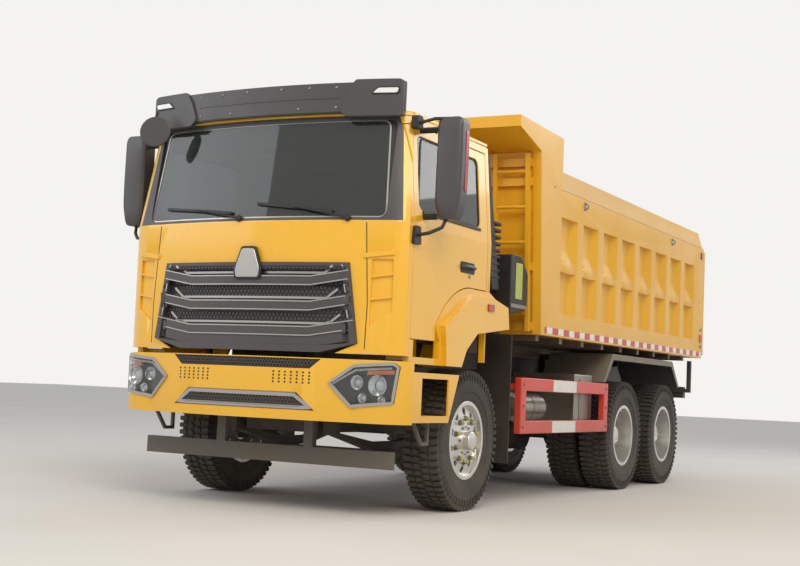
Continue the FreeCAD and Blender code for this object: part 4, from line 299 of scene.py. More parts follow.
def shifted(form, x=0.0, y=0.0, z=0.0):
    return [(p[0] + x, p[1] + y, p[2] + z) for p in form[0]], form[1]


def swung(form, degrees, axis="X"):
    turn = Matrix.Rotation(math.radians(degrees), 4, axis)
    return [tuple(turn @ Vector(p)) for p in form[0]], form[1]


def flipped(form):
    """The form on the truck's other side."""
    return [(-p[0], p[1], p[2]) for p in form[0]], [list(reversed(side)) for side in form[1]]


def sided(sign, form):
    """A form drawn for the left, put on the side of the sign."""
    return form if sign > 0 else flipped(form)


def pair(form):
    return joined(form, flipped(form))


def tubed(points, size, closed=False):
    """Faces from ring to ring of points, with end caps unless the last ring meets the first."""
    count = len(points) // size
    faces = [] if closed else [list(reversed(range(size))), list(range((count - 1) * size, count * size))]
    for i in range(count if closed else count - 1):
        j = (i + 1) % count
        faces += [[i * size + k, i * size + (k + 1) % size, j * size + (k + 1) % size, j * size + k]
                  for k in range(size)]
    return points, faces


def strung(sections):
    """A closed form through rings of as many points each."""
    return tubed([tuple(p) for ring in sections for p in ring], len(sections[0]))


def section(x, faces, low, high, lift, deep):
    """A ring at one x, from in front of the surface's y at two heights to behind it."""
    return [(x, faces[0] - lift, low), (x, faces[1] - lift, high),
            (x, faces[1] + deep, high), (x, faces[0] + deep, low)]


def extruded(outline, low, high, axis="x"):
    """An outline run along an axis. Its two numbers are the other two axes in order."""
    spot = {"x": lambda u, v, w: (w, u, v), "y": lambda u, v, w: (u, w, v),
            "z": lambda u, v, w: (u, v, w)}[axis]
    area = sum(outline[i - 1][0] * outline[i][1] - outline[i][0] * outline[i - 1][1]
               for i in range(len(outline)))
    if (area < 0) != (axis == "y"):
        outline = list(reversed(outline))
    return tubed([spot(u, v, w) for w in (low, high) for u, v in outline], len(outline))


def block(low, high):
    return extruded(oblong(low[:2], high[:2]), low[2], high[2], "z")


def rounded(corners, radius, parts=5):
    """A closed outline of two numbers with its corners rounded."""
    outline = []
    count = len(corners)
    for i in range(count):
        spot = Vector(corners[i])
        before = (Vector(corners[i - 1]) - spot).normalized() * radius
        after = (Vector(corners[(i + 1) % count]) - spot).normalized() * radius
        for k in range(parts + 1):
            t = k / parts
            outline.append(tuple(spot + before * (1 - t) ** 2 + after * t ** 2))
    return outline


def slab(corners, radius, low, high, axis="x", parts=5):
    """A plate with rounded corners."""
    return extruded(rounded(corners, radius, parts), low, high, axis)


def oblong(low, high, radius=0.0):
    (a, b), (c, d) = low, high
    corners = [(a, b), (c, b), (c, d), (a, d)]
    return rounded(corners, radius, 3) if radius else corners


def trapezium(foot, low, head, high):
    """An outline that is as far out on both sides: half width and height below, then above."""
    return [(-foot, low), (foot, low), (head, high), (-head, high)]


def scaled(outline, share, middle=None):
    """An outline drawn in towards a spot, or towards its own middle."""
    middle = Vector(middle) if middle else sum((Vector(p) for p in outline), Vector((0, 0))) / len(outline)
    return [tuple(middle + (Vector(p) - middle) * share) for p in outline]


def circle(radius, sides, u=0.0):
    return [(u + radius * math.cos(2 * math.pi * k / sides), radius * math.sin(2 * math.pi * k / sides))
            for k in range(sides)]


def lathed(profile, sides):
    """A profile of (x, radius) turned about the X axis. It closes on itself."""
    points = []
    for k in range(sides):
        angle = 2 * math.pi * k / sides
        points += [(x, r * math.sin(angle), r * math.cos(angle)) for x, r in profile]
    return tubed(points, len(profile), closed=True)


def piped(path, radius, sides=10, closed=False):
    """A round tube along a path of points."""
    spots = [Vector(p) for p in path]
    count = len(spots)
    points = []
    side = None
    for i, spot in enumerate(spots):
        before = spots[i - 1] if i or closed else spot
        after = spots[(i + 1) % count] if i < count - 1 or closed else spot
        along = (after - before).normalized()
        if side is None:
            side = along.orthogonal().normalized()
        side = (side - along * side.dot(along)).normalized()
        up = along.cross(side)
        inward = (spot - before).normalized() if (spot - before).length else along
        wide = radius / max(0.5, abs(inward.dot(along)))
        points += [spot + side * u + up * v for u, v in circle(wide, sides)]
    return tubed(points, sides, closed)


def knob(radius, height, sides=16, dome=0.4):
    """A round head that stands along +Z, its edge domed, its foot sunk by 3 mm."""
    rings = [(radius, -0.003), (radius, height * (1 - dome)), (radius * 0.75, height * (1 - dome * 0.25)),
             (radius * 0.3, height)]
    return tubed([(u, v, z) for r, z in rings for u, v in circle(r, sides)], sides)


def here(form):
    """A form drawn with lengths from the front axle, put in the truck's frame."""
    return shifted(form, y=FRONT_AXLE)


# Meshes and pieces

def edited(mesh, change):
    """A mesh after a change to its bmesh."""
    shape = bmesh.new()
    shape.from_mesh(mesh)
    change(shape)
    shape.to_mesh(mesh)
    shape.free()
    return mesh


def mesh_of(name, form, merge=0.0):
    """A form's mesh with its faces outward, points closer than merge made one."""
    def change(shape):
        if merge:
            bmesh.ops.remove_doubles(shape, verts=shape.verts, dist=merge)
        bmesh.ops.recalc_face_normals(shape, faces=shape.faces)

    mesh = bpy.data.meshes.new(name)
    mesh.from_pydata([tuple(p) for p in form[0]], [], form[1])
    return edited(mesh, change)


def linked(name, data):
    item = bpy.data.objects.new(name, data)
    bpy.context.scene.collection.objects.link(item)
    return item


def settled(item):
    """The mesh an object's modifiers leave, the object removed."""
    bpy.context.view_layer.update()
    graph = bpy.context.evaluated_depsgraph_get()
    result = bpy.data.meshes.new_from_object(item.evaluated_get(graph))
    bpy.data.objects.remove(item)
    return result


def made(name, form, material, node, bevel=0.0, smooth=35, segments=2):
    """A finished piece from a form, on the body of a CAD node."""
    return placed(name, mesh_of(name, here(form), 1e-6), material, node, bevel, smooth, segments)


def made_all(node, rows, side=""):
    """Pieces of one node: name, form and finish, and where wanted bevel, smoothing and segments."""
    return [made(f"{name}_{side}" if side else name, form, material, node, *ease)
            for name, form, material, *ease in rows]


def placed(name, mesh, material, node, bevel=0.0, smooth=35, segments=2):
    mesh.materials.clear()
    mesh.materials.append(FINISH[material])
    mesh.shade_smooth()
    mesh.set_sharp_from_angle(angle=math.radians(smooth))
    piece = linked(name, mesh)
    if bevel:
        ease = piece.modifiers.new("ease", "BEVEL")
        ease.width = bevel
        ease.segments = segments
        ease.limit_method = "ANGLE"
        ease.angle_limit = math.radians(30)
        ease.harden_normals = False
    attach(piece, NODE_BODY[node])
    return piece


def merged(node):
    """A copy of a CAD node's mesh with its points merged."""
    return edited(NODES[node].data.copy(),
                  lambda shape: bmesh.ops.remove_doubles(shape, verts=shape.verts, dist=2e-5))


def worked(mesh, form, operation="DIFFERENCE"):
    """A mesh with a closed form cut away, or with only what lies in the form kept."""
    base, cutter = linked("base", mesh), linked("cutter", mesh_of("tool", here(form)))
    change = base.modifiers.new("cut", "BOOLEAN")
    change.object = cutter
    change.operation = operation
    change.solver = "EXACT"
    result = settled(base)
    bpy.data.objects.remove(cutter)
    if not result.polygons:
        raise RuntimeError("a cut left nothing")
    return result


def softened(node, material, width=0.004, angle=28, mesh=None):
    """A CAD node's own shape, or one cut from it, with its pressed edges eased, in its place."""
    name = node + "_dressed"
    mesh = edited(mesh or merged(node), lambda shape: bmesh.ops.dissolve_limit(
        shape, angle_limit=math.radians(1.5), verts=shape.verts, edges=shape.edges))
    mesh.name = name
    piece = placed(name, mesh, material, node, width, angle)
    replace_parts(piece, node)
    return piece


def hull(*nodes):
    """A search tree of the faces of nodes or meshes, to set small parts on a surface."""
    forms = [form_of(NODES[node].data if isinstance(node, str) else node) for node in nodes]
    return BVHTree.FromPolygons(*joined(*forms))


def extent(node):
    """The low and high corners of a CAD node's box, in lengths from the front axle."""
    points = [(c[0], c[1] - FRONT_AXLE, c[2]) for c in NODES[node].bound_box]
    return [tuple(pick(p[i] for p in points) for i in range(3)) for pick in (min, max)]


# Repeats, each made by a small node tree on one pattern piece

def repeat_tree(name, ring):
    """
    A node tree that sets copies of its input in a ring about an X axle, or in a row,
    and gives them their finish.
    """
    tree = bpy.data.node_groups.new(name, "GeometryNodeTree")
    for label, kind in (("Pattern", "Geometry"), ("Count", "Int"), ("Centre", "Vector"),
                        ("Step", "Vector"), ("Finish", "Material")):
        tree.interface.new_socket(label, in_out="INPUT", socket_type="NodeSocket" + kind)
    tree.interface.new_socket("Set", in_out="OUTPUT", socket_type="NodeSocketGeometry")
    given = add(tree, "NodeGroupInput").outputs
    still = add(tree, "FunctionNodeInputVector").outputs[0]
    line = add(tree, "GeometryNodeMeshLine", {"Count": given["Count"], "Start Location": given["Centre"],
                                              "Offset": still if ring else given["Step"]})
    setup = {"Points": line.outputs["Mesh"], "Instance": given["Pattern"]}
    if ring:
        index = add(tree, "GeometryNodeInputIndex").outputs[0]
        setup["Rotation"] = add(tree, "ShaderNodeVectorMath", {0: given["Step"], "Scale": index},
                                operation="SCALE").outputs[0]
    copies = add(tree, "GeometryNodeInstanceOnPoints", setup)
    real = add(tree, "GeometryNodeRealizeInstances", {"Geometry": copies.outputs["Instances"]})
    coat = add(tree, "GeometryNodeSetMaterial",
               {"Geometry": real.outputs["Geometry"], "Material": given["Finish"]})
    add(tree, "NodeGroupOutput", {"Set": coat.outputs["Geometry"]})
    return tree


TREES = {}


def repeated(form, count, centre, step, material, ring=False):
    """A form set count times in a row, or in a ring where step is the turn."""
    if ring not in TREES:
        TREES[ring] = repeat_tree("set_in_ring" if ring else "set_in_row", ring)
    carrier = linked("pattern", mesh_of("pattern", form))
    setter = carrier.modifiers.new("repeat", "NODES")
    setter.node_group = TREES[ring]
    values = {"Count": count, "Centre": centre, "Step": step, "Finish": FINISH[material]}
    for item in TREES[ring].interface.items_tree:
        if item.in_out == "INPUT" and item.name in values:
            setter[item.identifier] = values[item.name]
    return form_of(settled(carrier))


def form_of(mesh):
    """A mesh as a form again, so that it can join others."""
    return [tuple(v.co) for v in mesh.vertices], [list(side.vertices) for side in mesh.polygons]


def ringed(form, count, material="steel"):
    return repeated(form, count, (0, 0, 0), (2 * math.pi / count, 0, 0), material, ring=True)


def rowed(form, count, step, centre=(0, 0, 0), material="steel"):
    return repeated(form, count, centre, step, material)


# Setting small parts on the truck's surfaces

# Rays start this far ahead of the front axle, and this far out to a side.
CLEAR_AHEAD = 2.0
CLEAR_BESIDE = 2.0


def ahead(x, z):
    """A spot ahead of the truck and the way back to it."""
    return (x, -CLEAR_AHEAD, z), (0, 1, 0)


def beside(sign, y, z):
    """A spot beside the truck and the way in to it."""
    return (sign * CLEAR_BESIDE, y, z), (-sign, 0, 0)


def band(tree, sign, points, step, width, lift, closed=False):
    """A ribbon on a side wall, along points of y and z."""
    path = spaced([beside(sign, *p)[0] for p in (points + points[:1] if closed else points)], step)
    return ribbon(tree, path[:-1] if closed else path, (-sign, 0, 0), width, lift, closed=closed)


def struck(tree, spot, along):
    """Where a ray meets a surface and the way out of it, or None."""
    place, out, _, _ = tree.ray_cast(Vector((spot[0], spot[1] + FRONT_AXLE, spot[2])), Vector(along))
    if place is None:
        return None
    if out.dot(Vector(along)) > 0:
        out = -out
    return Vector((place.x, place.y - FRONT_AXLE, place.z)), out


def touch(tree, spot, along):
    """The same, where a part has to find something to sit on."""
    met = struck(tree, spot, along)
    if met is None:
        raise RuntimeError(f"nothing to sit on from {spot}")
    return met


def front_y(tree, x, z):
    return touch(tree, *ahead(x, z))[0].y


def side_x(tree, sign, y, z):
    """How far out a side wall stands."""
    return touch(tree, *beside(sign, y, z))[0].x * sign


def spaced(path, step):
    """A path's points with more between them, no further apart than a step."""
    spots = [Vector(path[0])]
    for start, end in zip(path, path[1:]):
        start, end = Vector(start), Vector(end)
        parts = max(1, math.ceil((end - start).length / step))
        spots += [start.lerp(end, k / parts) for k in range(1, parts + 1)]
    return spots


def ribbon(tree, path, along, width, lift, sink=0.004, closed=False):
    """A strip along a path on a surface, lying flat on it and standing up a little."""
    met = [touch(tree, spot, along) for spot in path]
    count = len(met)
    points = []
    for i, (spot, out) in enumerate(met):
        last = met[i - 1] if i or closed else met[i]
        after = met[(i + 1) % count] if i < count - 1 or closed else met[i]
        up = (last[1] + out + after[1]).normalized()
        side = up.cross((after[0] - last[0]).normalized()).normalized() * (width / 2)
        points += [spot + side + up * lift, spot - side + up * lift,
                   spot - side - up * sink, spot + side - up * sink]
    return tubed(points, 4, closed)


def strip(tree, points, step, width, lift, sink=0.004, closed=False):
    """A ribbon on the front, along points of x and z."""
    path = spaced([ahead(*p)[0] for p in (points + points[:1] if closed else points)], step)
    return ribbon(tree, path[:-1] if closed else path, (0, 1, 0), width, lift, sink, closed)


def laid(tree, outline, lift, deep, rows=6):
    """A plate inside an outline of x and z that follows the surface behind it."""
    edges = sorted({p[0] for p in outline})
    across = [edges[0] + 0.0005]
    for start, end in zip(edges, edges[1:]):
        parts = max(1, math.ceil((end - start) / 0.035))
        across += [start + (end - start) * k / parts for k in range(1, parts + 1)]
    across[-1] -= 0.0005
    sections = []
    for x in across:
        heights = [b + (d - b) * (x - a) / (c - a)
                   for (a, b), (c, d) in zip(outline, outline[1:] + outline[:1])
                   if min(a, c) <= x <= max(a, c) and abs(c - a) > 1e-9]
        low, high = min(heights), max(heights)
        tall = high - low if high - low >= 0.002 else 0.002
        levels = [low + tall * k / rows for k in range(rows + 1)]
        front = [(front_y(tree, x, z), z) for z in levels]
        sections.append([(x, y - lift, z) for y, z in front]
                        + [(x, y + deep, z) for y, z in reversed(front)])
    return strung(sections)


def seated(form, tree, spot, along):
    """A form that points along +Z, stood on a surface where a ray meets it."""
    place, out = touch(tree, spot, along)
    turn = Vector((0, 0, 1)).rotation_difference(out).to_matrix()
    return [tuple(turn @ Vector(p) + place) for p in form[0]], form[1]


def plated(sign, tree, outline, lift=0.002):
    """A flat plate on a side wall, from an outline of y and z."""
    y, z = (sum(p[i] for p in outline) / len(outline) for i in (0, 1))
    face = side_x(tree, sign, y, z)
    return sided(sign, extruded(outline, face - 0.002, face + lift))


def hung(tree, sign, form, spots):
    """Copies of a form that stands out from x = 0, set on a side wall at spots of y and z."""
    return joined(*(sided(sign, shifted(form, side_x(tree, sign, y, z), y, z)) for y, z in spots))


def honeycomb(tree, half, low, high, keep, size=0.0185, wall=0.0035, deep=0.005):
    """A honeycomb laid on the surface behind the front, where keep says that it shows."""
    corners = [math.radians(60 * k + 30) for k in range(6)]
    rings = ((size, 0.0), (size - wall, 0.0), (size - wall, deep), (size, deep))
    cell = tubed([(r * math.cos(a), y, r * math.sin(a)) for r, y in rings for a in corners], 6, closed=True)
    across, upward = size * math.sqrt(3), size * 1.5
    parts = []
    row = 0
    while low + row * upward < high:
        z = low + row * upward
        start = -half + (across / 2 if row % 2 else 0)
        points, faces = rowed(cell, int(2 * half / across), (across, 0, 0), (start, 0, z), "black")
        each, sides = len(cell[0]), len(cell[1])
        for k in range(len(points) // each):
            x = start + k * across
            if keep(x, z):
                place, out = touch(tree, *ahead(x, z))
                slope = -out.x / out.y if abs(out.y) > 0.3 else 0.0
                own = [(p[0], p[1] + place.y - deep + slope * (p[0] - x), p[2])
                       for p in points[k * each:(k + 1) * each]]
                parts.append((own, [[i - k * each for i in side]
                                    for side in faces[k * sides:(k + 1) * sides]]))
        row += 1
    return joined(*parts)


# Stage

# The camera's yaw, pitch and roll in degrees and its place, solved from the photograph
CAMERA_TURN = (28.1612, 4.4682, 2.5749)
CAMERA_SPOT = (5.496, -9.2955 + FRONT_AXLE, 0.9316)


class StageSizes(bpy.types.PropertyGroup):
    lens: bpy.props.FloatProperty(
        name="Lens", description="Focal length on a 36 mm sensor", default=59.5)
    floor_colour: bpy.props.StringProperty(
        name="Floor colour", description="Colour of the pale floor", default="#E4E1DC")
    sky_colour: bpy.props.StringProperty(
        name="Sky colour", description="Colour of the light from all round", default="#EEF1F4")


class StageOperator(bpy.types.Operator):
    """Floor, soft lights and the camera at the photograph's viewing angle"""
    bl_idname = "truck.stage"
    bl_label = "Stage"

    def execute(self, context):
        scene = context.scene
        sizes = scene.stage_sizes
        scene.view_settings.view_transform = "Standard"
        yaw, pitch, roll = (math.radians(a) for a in CAMERA_TURN)
        into = Vector((-math.sin(yaw) * math.cos(pitch), math.cos(yaw) * math.cos(pitch), math.sin(pitch)))
        right = Vector((math.cos(yaw), math.sin(yaw), 0))
        up = right.cross(into)
        side = right * math.cos(roll) + up * math.sin(roll)
        top = -right * math.sin(roll) + up * math.cos(roll)
        camera = bpy.data.cameras.new("camera")
        camera.lens = sizes.lens
        camera.sensor_width = 36.0
        camera.sensor_fit = "HORIZONTAL"
        camera.clip_end = 200.0
        scene.camera = linked("camera", camera)
        turn = Matrix((side, top, -into)).transposed().to_4x4()
        scene.camera.matrix_world = Matrix.Translation(CAMERA_SPOT) @ turn

        floor = bpy.data.meshes.new("floor")
        reach = 60.0
        corners = oblong((-reach, -reach), (reach, reach))
        floor.from_pydata([(u, v, 0) for u, v in corners], [], [[0, 1, 2, 3]])
        pale = bpy.data.materials.new("pale_floor")
        tree = cleared(pale)
        cloud = noise(tree, add(tree, "ShaderNodeTexCoord").outputs["Object"], 0.6, 3.0, 0.5)
        tone = mixed(tree, cloud, sizes.floor_colour, "#DAD6D0")
        matt = add(tree, "ShaderNodeBsdfPrincipled", {"Base Color": tone, "Roughness": 0.9})
        add(tree, "ShaderNodeOutputMaterial", {"Surface": matt.outputs["BSDF"]})
        floor.materials.append(pale)
        linked("floor", floor)

        scene.world = bpy.data.worlds.new("studio")
        tree = cleared(scene.world)
        sky = add(tree, "ShaderNodeBackground", {"Color": linear(sizes.sky_colour), "Strength": 0.62})
        clear = add(tree, "ShaderNodeBackground", {"Color": linear("#F4F3F0"), "Strength": 1.0})
        rays = add(tree, "ShaderNodeLightPath").outputs
        seen = maths(tree, "MAXIMUM", rays["Is Camera Ray"], rays["Is Glossy Ray"])
        seen = maths(tree, "MAXIMUM", seen, rays["Is Transmission Ray"])
        both = add(tree, "ShaderNodeMixShader", {0: seen, 1: sky.outputs[0], 2: clear.outputs[0]})
        add(tree, "ShaderNodeOutputWorld", {"Surface": both.outputs[0]})

        for name, spot, power, size, tint in (
                ("key", (7.5, -11.0, 10.0), 900.0, 7.0, "#FFF4E2"),
                ("fill", (-9.0, -10.0, 7.0), 380.0, 8.0, "#EEF3FA"),
                ("rim", (6.0, 11.0, 9.0), 380.0, 7.0, "#FFFFFF")):
            light = bpy.data.lights.new(name, "AREA")
            light.energy = power
            light.size = size
            light.color = linear(tint)[:3]
            lamp = linked(name, light)
            lamp.location = spot
            lamp.rotation_euler = (Vector((0, 0, 1.4)) - Vector(spot)).to_track_quat("-Z", "Y").to_euler()
        return {"FINISHED"}


class FinishOperator(bpy.types.Operator):
    """A finish for each CAD node, and the pressed panels with their edges eased"""
    bl_idname = "truck.finishes"
    bl_label = "Finishes"

    def execute(self, context):
        materials = {node: material for material, nodes in NODE_FINISH.items() for node in nodes.split()}
        for node, material in materials.items():
            NODES[node].data.materials.clear()
            NODES[node].data.materials.append(FINISH[material])
        for node, width in PRESSED.items():
            softened(node, materials[node], width)
        return {"FINISHED"}


# Tyres and wheels

def tyre_form():
    """A tyre standing at the origin, its axle along X, with the outside towards +X."""
    profile = [(0.118, 0.286), (0.128, 0.3), (0.134, 0.33), (0.1415, 0.372), (0.1465, 0.376),
               (0.1475, 0.384), (0.1485, 0.42), (0.147, 0.456), (0.1415, 0.462), (0.1395, 0.486),
               (0.131, 0.506), (0.128, 0.512), (0.1, 0.5185), (0.05, 0.5215)]
    profile += [(-x, r) for x, r in reversed(profile)] + [(-0.108, 0.283), (0.108, 0.283)]
    shoulder = extruded([(0.132, -0.02), (0.143, -0.013), (0.143, 0.011), (0.13, 0.018),
                         (0.076, 0.012), (0.07, -0.004), (0.08, -0.018)], 0.5, 0.5375, "z")
    inner = extruded([(0.062, -0.016), (0.064, 0.006), (0.038, 0.019), (0.008, 0.014),
                      (0.005, -0.006), (0.028, -0.019)], 0.512, 0.5395, "z")
    lug = extruded([(0.5, -0.009), (0.5, 0.009), (0.462, 0.005), (0.462, -0.005)], 0.138, 0.1485)
    ribs = joined(shoulder, inner, ([(x, z, y) for x, y, z in lug[0]], lug[1]))
    other = swung(swung(ribs, 180, "Z"), 3, "X")
    return joined(lathed(profile, 96), ringed(joined(ribs, other), TREAD_ROWS, "tyre"))


def side_turn(form, sign):
    """A wheel's form for its side: the outside faces away from the truck."""
    return form if sign > 0 else swung(form, 180, "Z")


class TyreOperator(bpy.types.Operator):
    """Tyres with their tread, in place of the plain ones"""
    bl_idname = "truck.tyres"
    bl_label = "Tyres"

    def execute(self, context):
        form = tyre_form()
        for _, node, _, y, out, twin, *_ in AXLES:
            for side, sign in SIDES:
                name = f"{node}_{side}"
                places = (out, out - twin) if twin else (out,)
                tyres = [shifted(side_turn(form, sign), sign * x, y, WHEEL_Z) for x in places]
                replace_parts(made(name + "_dressed", joined(*tyres), "tyre", name), name)
        return {"FINISHED"}


class WheelOperator(bpy.types.Operator):
    """Hand holes in the wheels, the nuts with their caps and the hub's bolts"""
    bl_idname = "truck.wheels"
    bl_label = "Wheels"

    def execute(self, context):
        nut = joined(extruded(circle(0.018, 6), -0.006, 0.022),
                     lathed([(-0.004, 0.001), (-0.004, 0.023), (0.004, 0.023), (0.004, 0.001)], 16))
        cap = lathed([(0.018, 0.001), (0.018, 0.0145), (0.034, 0.0135), (0.04, 0.009), (0.042, 0.001)], 12)
        bolt = extruded(circle(0.009, 6), -0.004, 0.01)
        for place, _, node, y, _, _, disc_x, hub_x, bolts, disc in AXLES:
            steel = joined(ringed(shifted(nut, x=disc_x, z=NUT_CIRCLE), WHEEL_NUTS),
                           ringed(shifted(bolt, x=hub_x, z=bolts), HUB_BOLTS))
            caps = ringed(shifted(cap, x=disc_x, z=NUT_CIRCLE), WHEEL_NUTS)
            holes = ringed(shifted(extruded(circle(0.03, 20), *disc), z=HOLE_CIRCLE), WHEEL_NUTS)
            for side, sign in SIDES:
                rim = f"{node}_{side}"
                through, one, other = (shifted(side_turn(form, sign), 0.0, y, WHEEL_Z)
                                       for form in (holes, steel, caps))
                softened(rim, "wheel_steel", 0.003, 32, worked(merged(rim), through))
                made(f"{place}_nuts_{side}", one, "steel", rim, smooth=30)
                made(f"{place}_nut_caps_{side}", other, "nut_cap", rim, smooth=30)
        return {"FINISHED"}


# Cab front: the grille's foot, its height, and the middles of its raised bars
GRILLE_LOW = 1.217
GRILLE_TALL = 0.568
# Where the bars begin to rise, the bars' height, and how far up and down their silver edges sit
RISE_FROM = 0.52
BAR_TALL = 0.076
BAR_EDGE = 0.031
BAR_LEVELS = [GRILLE_LOW + GRILLE_TALL * (index + 0.42) / 3.15 for index in range(3)]


def rise(x):
    """How much higher a raised bar is at x than in the middle."""
    return max(0.0, abs(x) - RISE_FROM) * 0.06 / 0.365


def narrowed(half, z):
    """The grille's half width at a height, from the one at its foot."""
    return half - 0.085 * (z - GRILLE_LOW) / GRILLE_TALL


def grille_bars():
    """The grille's frame without its straight bars, and bars that rise at both ends."""
    tree = hull("grille")
    straight = [GRILLE_LOW + GRILLE_TALL * (index + 0.6) / 3.4 for index in range(3)]

    def front(x, z):
        near, wide = (max(-half, min(half, x)) for half in (0.815, 0.862))
        foot, low, high = (front_y(tree, u, v)
                           for u, v in ((wide, straight[0]), (near, straight[0]), (near, straight[2])))
        return foot + (high - low) * (z - straight[0]) / (straight[2] - straight[0])

    def ring(x, low, high, lift, back):
        return section(x, (front(x, low), front(x, high)), low, high, lift, deep + back)

    middle = (straight[0] + straight[1]) / 2
    deep = front_y(tree, 0.0, middle) - front(0.0, middle)
    mesh = merged("grille")
    for z in straight:
        mesh = worked(mesh, strung([ring(-0.768 + 0.048 * k, z - 0.036, z + 0.036, 0.04, -0.0006)
                                    for k in range(33)]))
    bars = []
    for z in BAR_LEVELS:
        far = narrowed(0.868, z + 0.04)
        lows = [(x, z - BAR_TALL / 2 + rise(x)) for x in (-far + 2 * far * k / 40 for k in range(41))]
        bars.append(strung([ring(x, low, low + BAR_TALL, 0.0, 0.003) for x, low in lows]))
    chin = [ring(x, 1.185 + max(0.0, abs(x) - 0.575) * 0.047 / 0.275, 1.268 + rise(x), -0.006, 0.006)
            for x in (-0.845 + 1.69 * k / 44 for k in range(45))]
    return mesh, joined(*bars, strung(chin))


class GrilleOperator(bpy.types.Operator):
    """The grille's raised bars with silver edges, the honeycomb and the bare badge plate"""
    bl_idname = "truck.grille"
    bl_label = "Grille"

    def execute(self, context):
        mesh, bars = grille_bars()
        rest = softened("grille", "grey", 0.004, mesh=mesh)
        raised = made("grille_bars", bars, "grey", "grille", bevel=0.006)
        tree = hull(rest.data, raised.data)
        trims = []
        for z in BAR_LEVELS:
            far = narrowed(0.875, z + 0.06)
            for level in (z - BAR_EDGE, z + BAR_EDGE):
                end = level + rise(far)
                points = [(-far, end), (-RISE_FROM, level), (RISE_FROM, level), (far, end)]
                trims.append(strip(tree, points, 0.045, 0.008, 0.003))
            inner, top = far - 0.115, min(z + 0.125, 1.76)
            points = [(-inner, top), (0.085 - inner, z + 0.058), (inner - 0.085, z + 0.058), (inner, top)]
            trims.append(strip(tree, points, 0.03, 0.016, 0.01))
            for sign in (-1, 1):
                points = [(sign * (far - 0.04), z + 0.1), (sign * (far - 0.052), min(z + 0.158, 1.77))]
                trims.append(strip(tree, points, 0.02, 0.01, 0.006))
        made("grille_trims", joined(*trims), "silver", "grille", smooth=40)

        def open_here(x, z):
            half = narrowed(0.855, z) if z > GRILLE_LOW else 0.58 + 0.275 * (z - 1.135) / 0.082
            return (abs(x) <= half and z > 1.32 + rise(x)
                    and all(abs(z - level - rise(x)) > 0.048 for level in BAR_LEVELS))

        comb = honeycomb(tree, 0.86, 1.16, 1.765, open_here)
        made("grille_honeycomb", comb, "black", "grille", smooth=20)
        outline = rounded([(-0.11, 1.66), (0.11, 1.66), (0.122, 1.73), (0.06, 1.9), (-0.06, 1.9),
                           (-0.122, 1.73)], 0.02)
        y = front_y(tree, 0.0, 1.65)
        made("badge_back", extruded(outline, y - 0.016, y + 0.014, "y"), "black", "grille", bevel=0.004)
        made("badge_plate", extruded(scaled(outline, 0.88), y - 0.021, y - 0.01, "y"), "silver",
             "grille", bevel=0.004)
        made("grille_baffle", block((-0.95, -1.15, 1.16), (0.95, -1.14, 1.285)), "black", "grille")
        return {"FINISHED"}


class ScreenOperator(bpy.types.Operator):
    """The cab's front with the dark surround, the glass with its border and seal, and the wipers"""
    bl_idname = "truck.screen"
    bl_label = "Windscreen"

    def execute(self, context):
        above = extruded([(-1.6, 2.09), (-1.185, 2.09), (-1.065, 2.96), (-1.6, 2.96)], -1.3, 1.3)
        shape = [(0.958, 1.345), (1.112, 1.445), (1.112, 1.815), (0.958, 1.815)]
        pocket = laid(hull("cab_front"), shape, 0.05, 0.018, rows=10)
        whole = worked(worked(merged("cab_front"), pocket), flipped(pocket))
        softened("cab_front", "cab_paint", 0.006, mesh=worked(whole.copy(), above))
        placed("screen_surround", worked(whole, above, "INTERSECT"), "grey", "grille", bevel=0.003)
        outline = rounded(trapezium(1.036, 2.114, 0.981, 2.826), 0.06)
        pane = extruded(outline, -1.7, -1.0, "y")
        glass = merged("windscreen")
        softened("windscreen", "glass", 0.0, mesh=worked(glass.copy(), pane, "INTERSECT"))
        placed("screen_border", worked(glass, pane), "black", "grille")
        tree = hull("windscreen", "cab_front")
        seal = strip(tree, outline, 0.05, 0.012, 0.004, closed=True)
        made("screen_seal", seal, "silver", "windscreen", smooth=50)
        parts = []
        for pivot, start, end in (((-0.121, 2.106), (-0.86, 2.205), (-0.2, 2.15)),
                                  ((0.764, 2.102), (0.02, 2.215), (0.64, 2.15))):
            middle = ((start[0] + end[0]) / 2, (start[1] + end[1]) / 2 + 0.004)
            line = spaced([ahead(*pivot)[0], ahead(*middle)[0]], 0.06)
            line = [touch(tree, spot, (0, 1, 0)) for spot in line]
            arm = [place + out * (0.026 + 0.014 * math.sin(math.pi * k / (len(line) - 1)))
                   for k, (place, out) in enumerate(line)]
            parts += [seated(knob(0.024, 0.03), tree, *ahead(*pivot)), piped(arm, 0.0075, 8),
                      strip(tree, [start, end], 0.05, 0.02, 0.022, -0.006),
                      strip(tree, [start, end], 0.05, 0.005, 0.008, -0.0005)]
        made("wipers", joined(*parts), "black", "grille", bevel=0.001)
        return {"FINISHED"}


# Visor, mirrors and doors

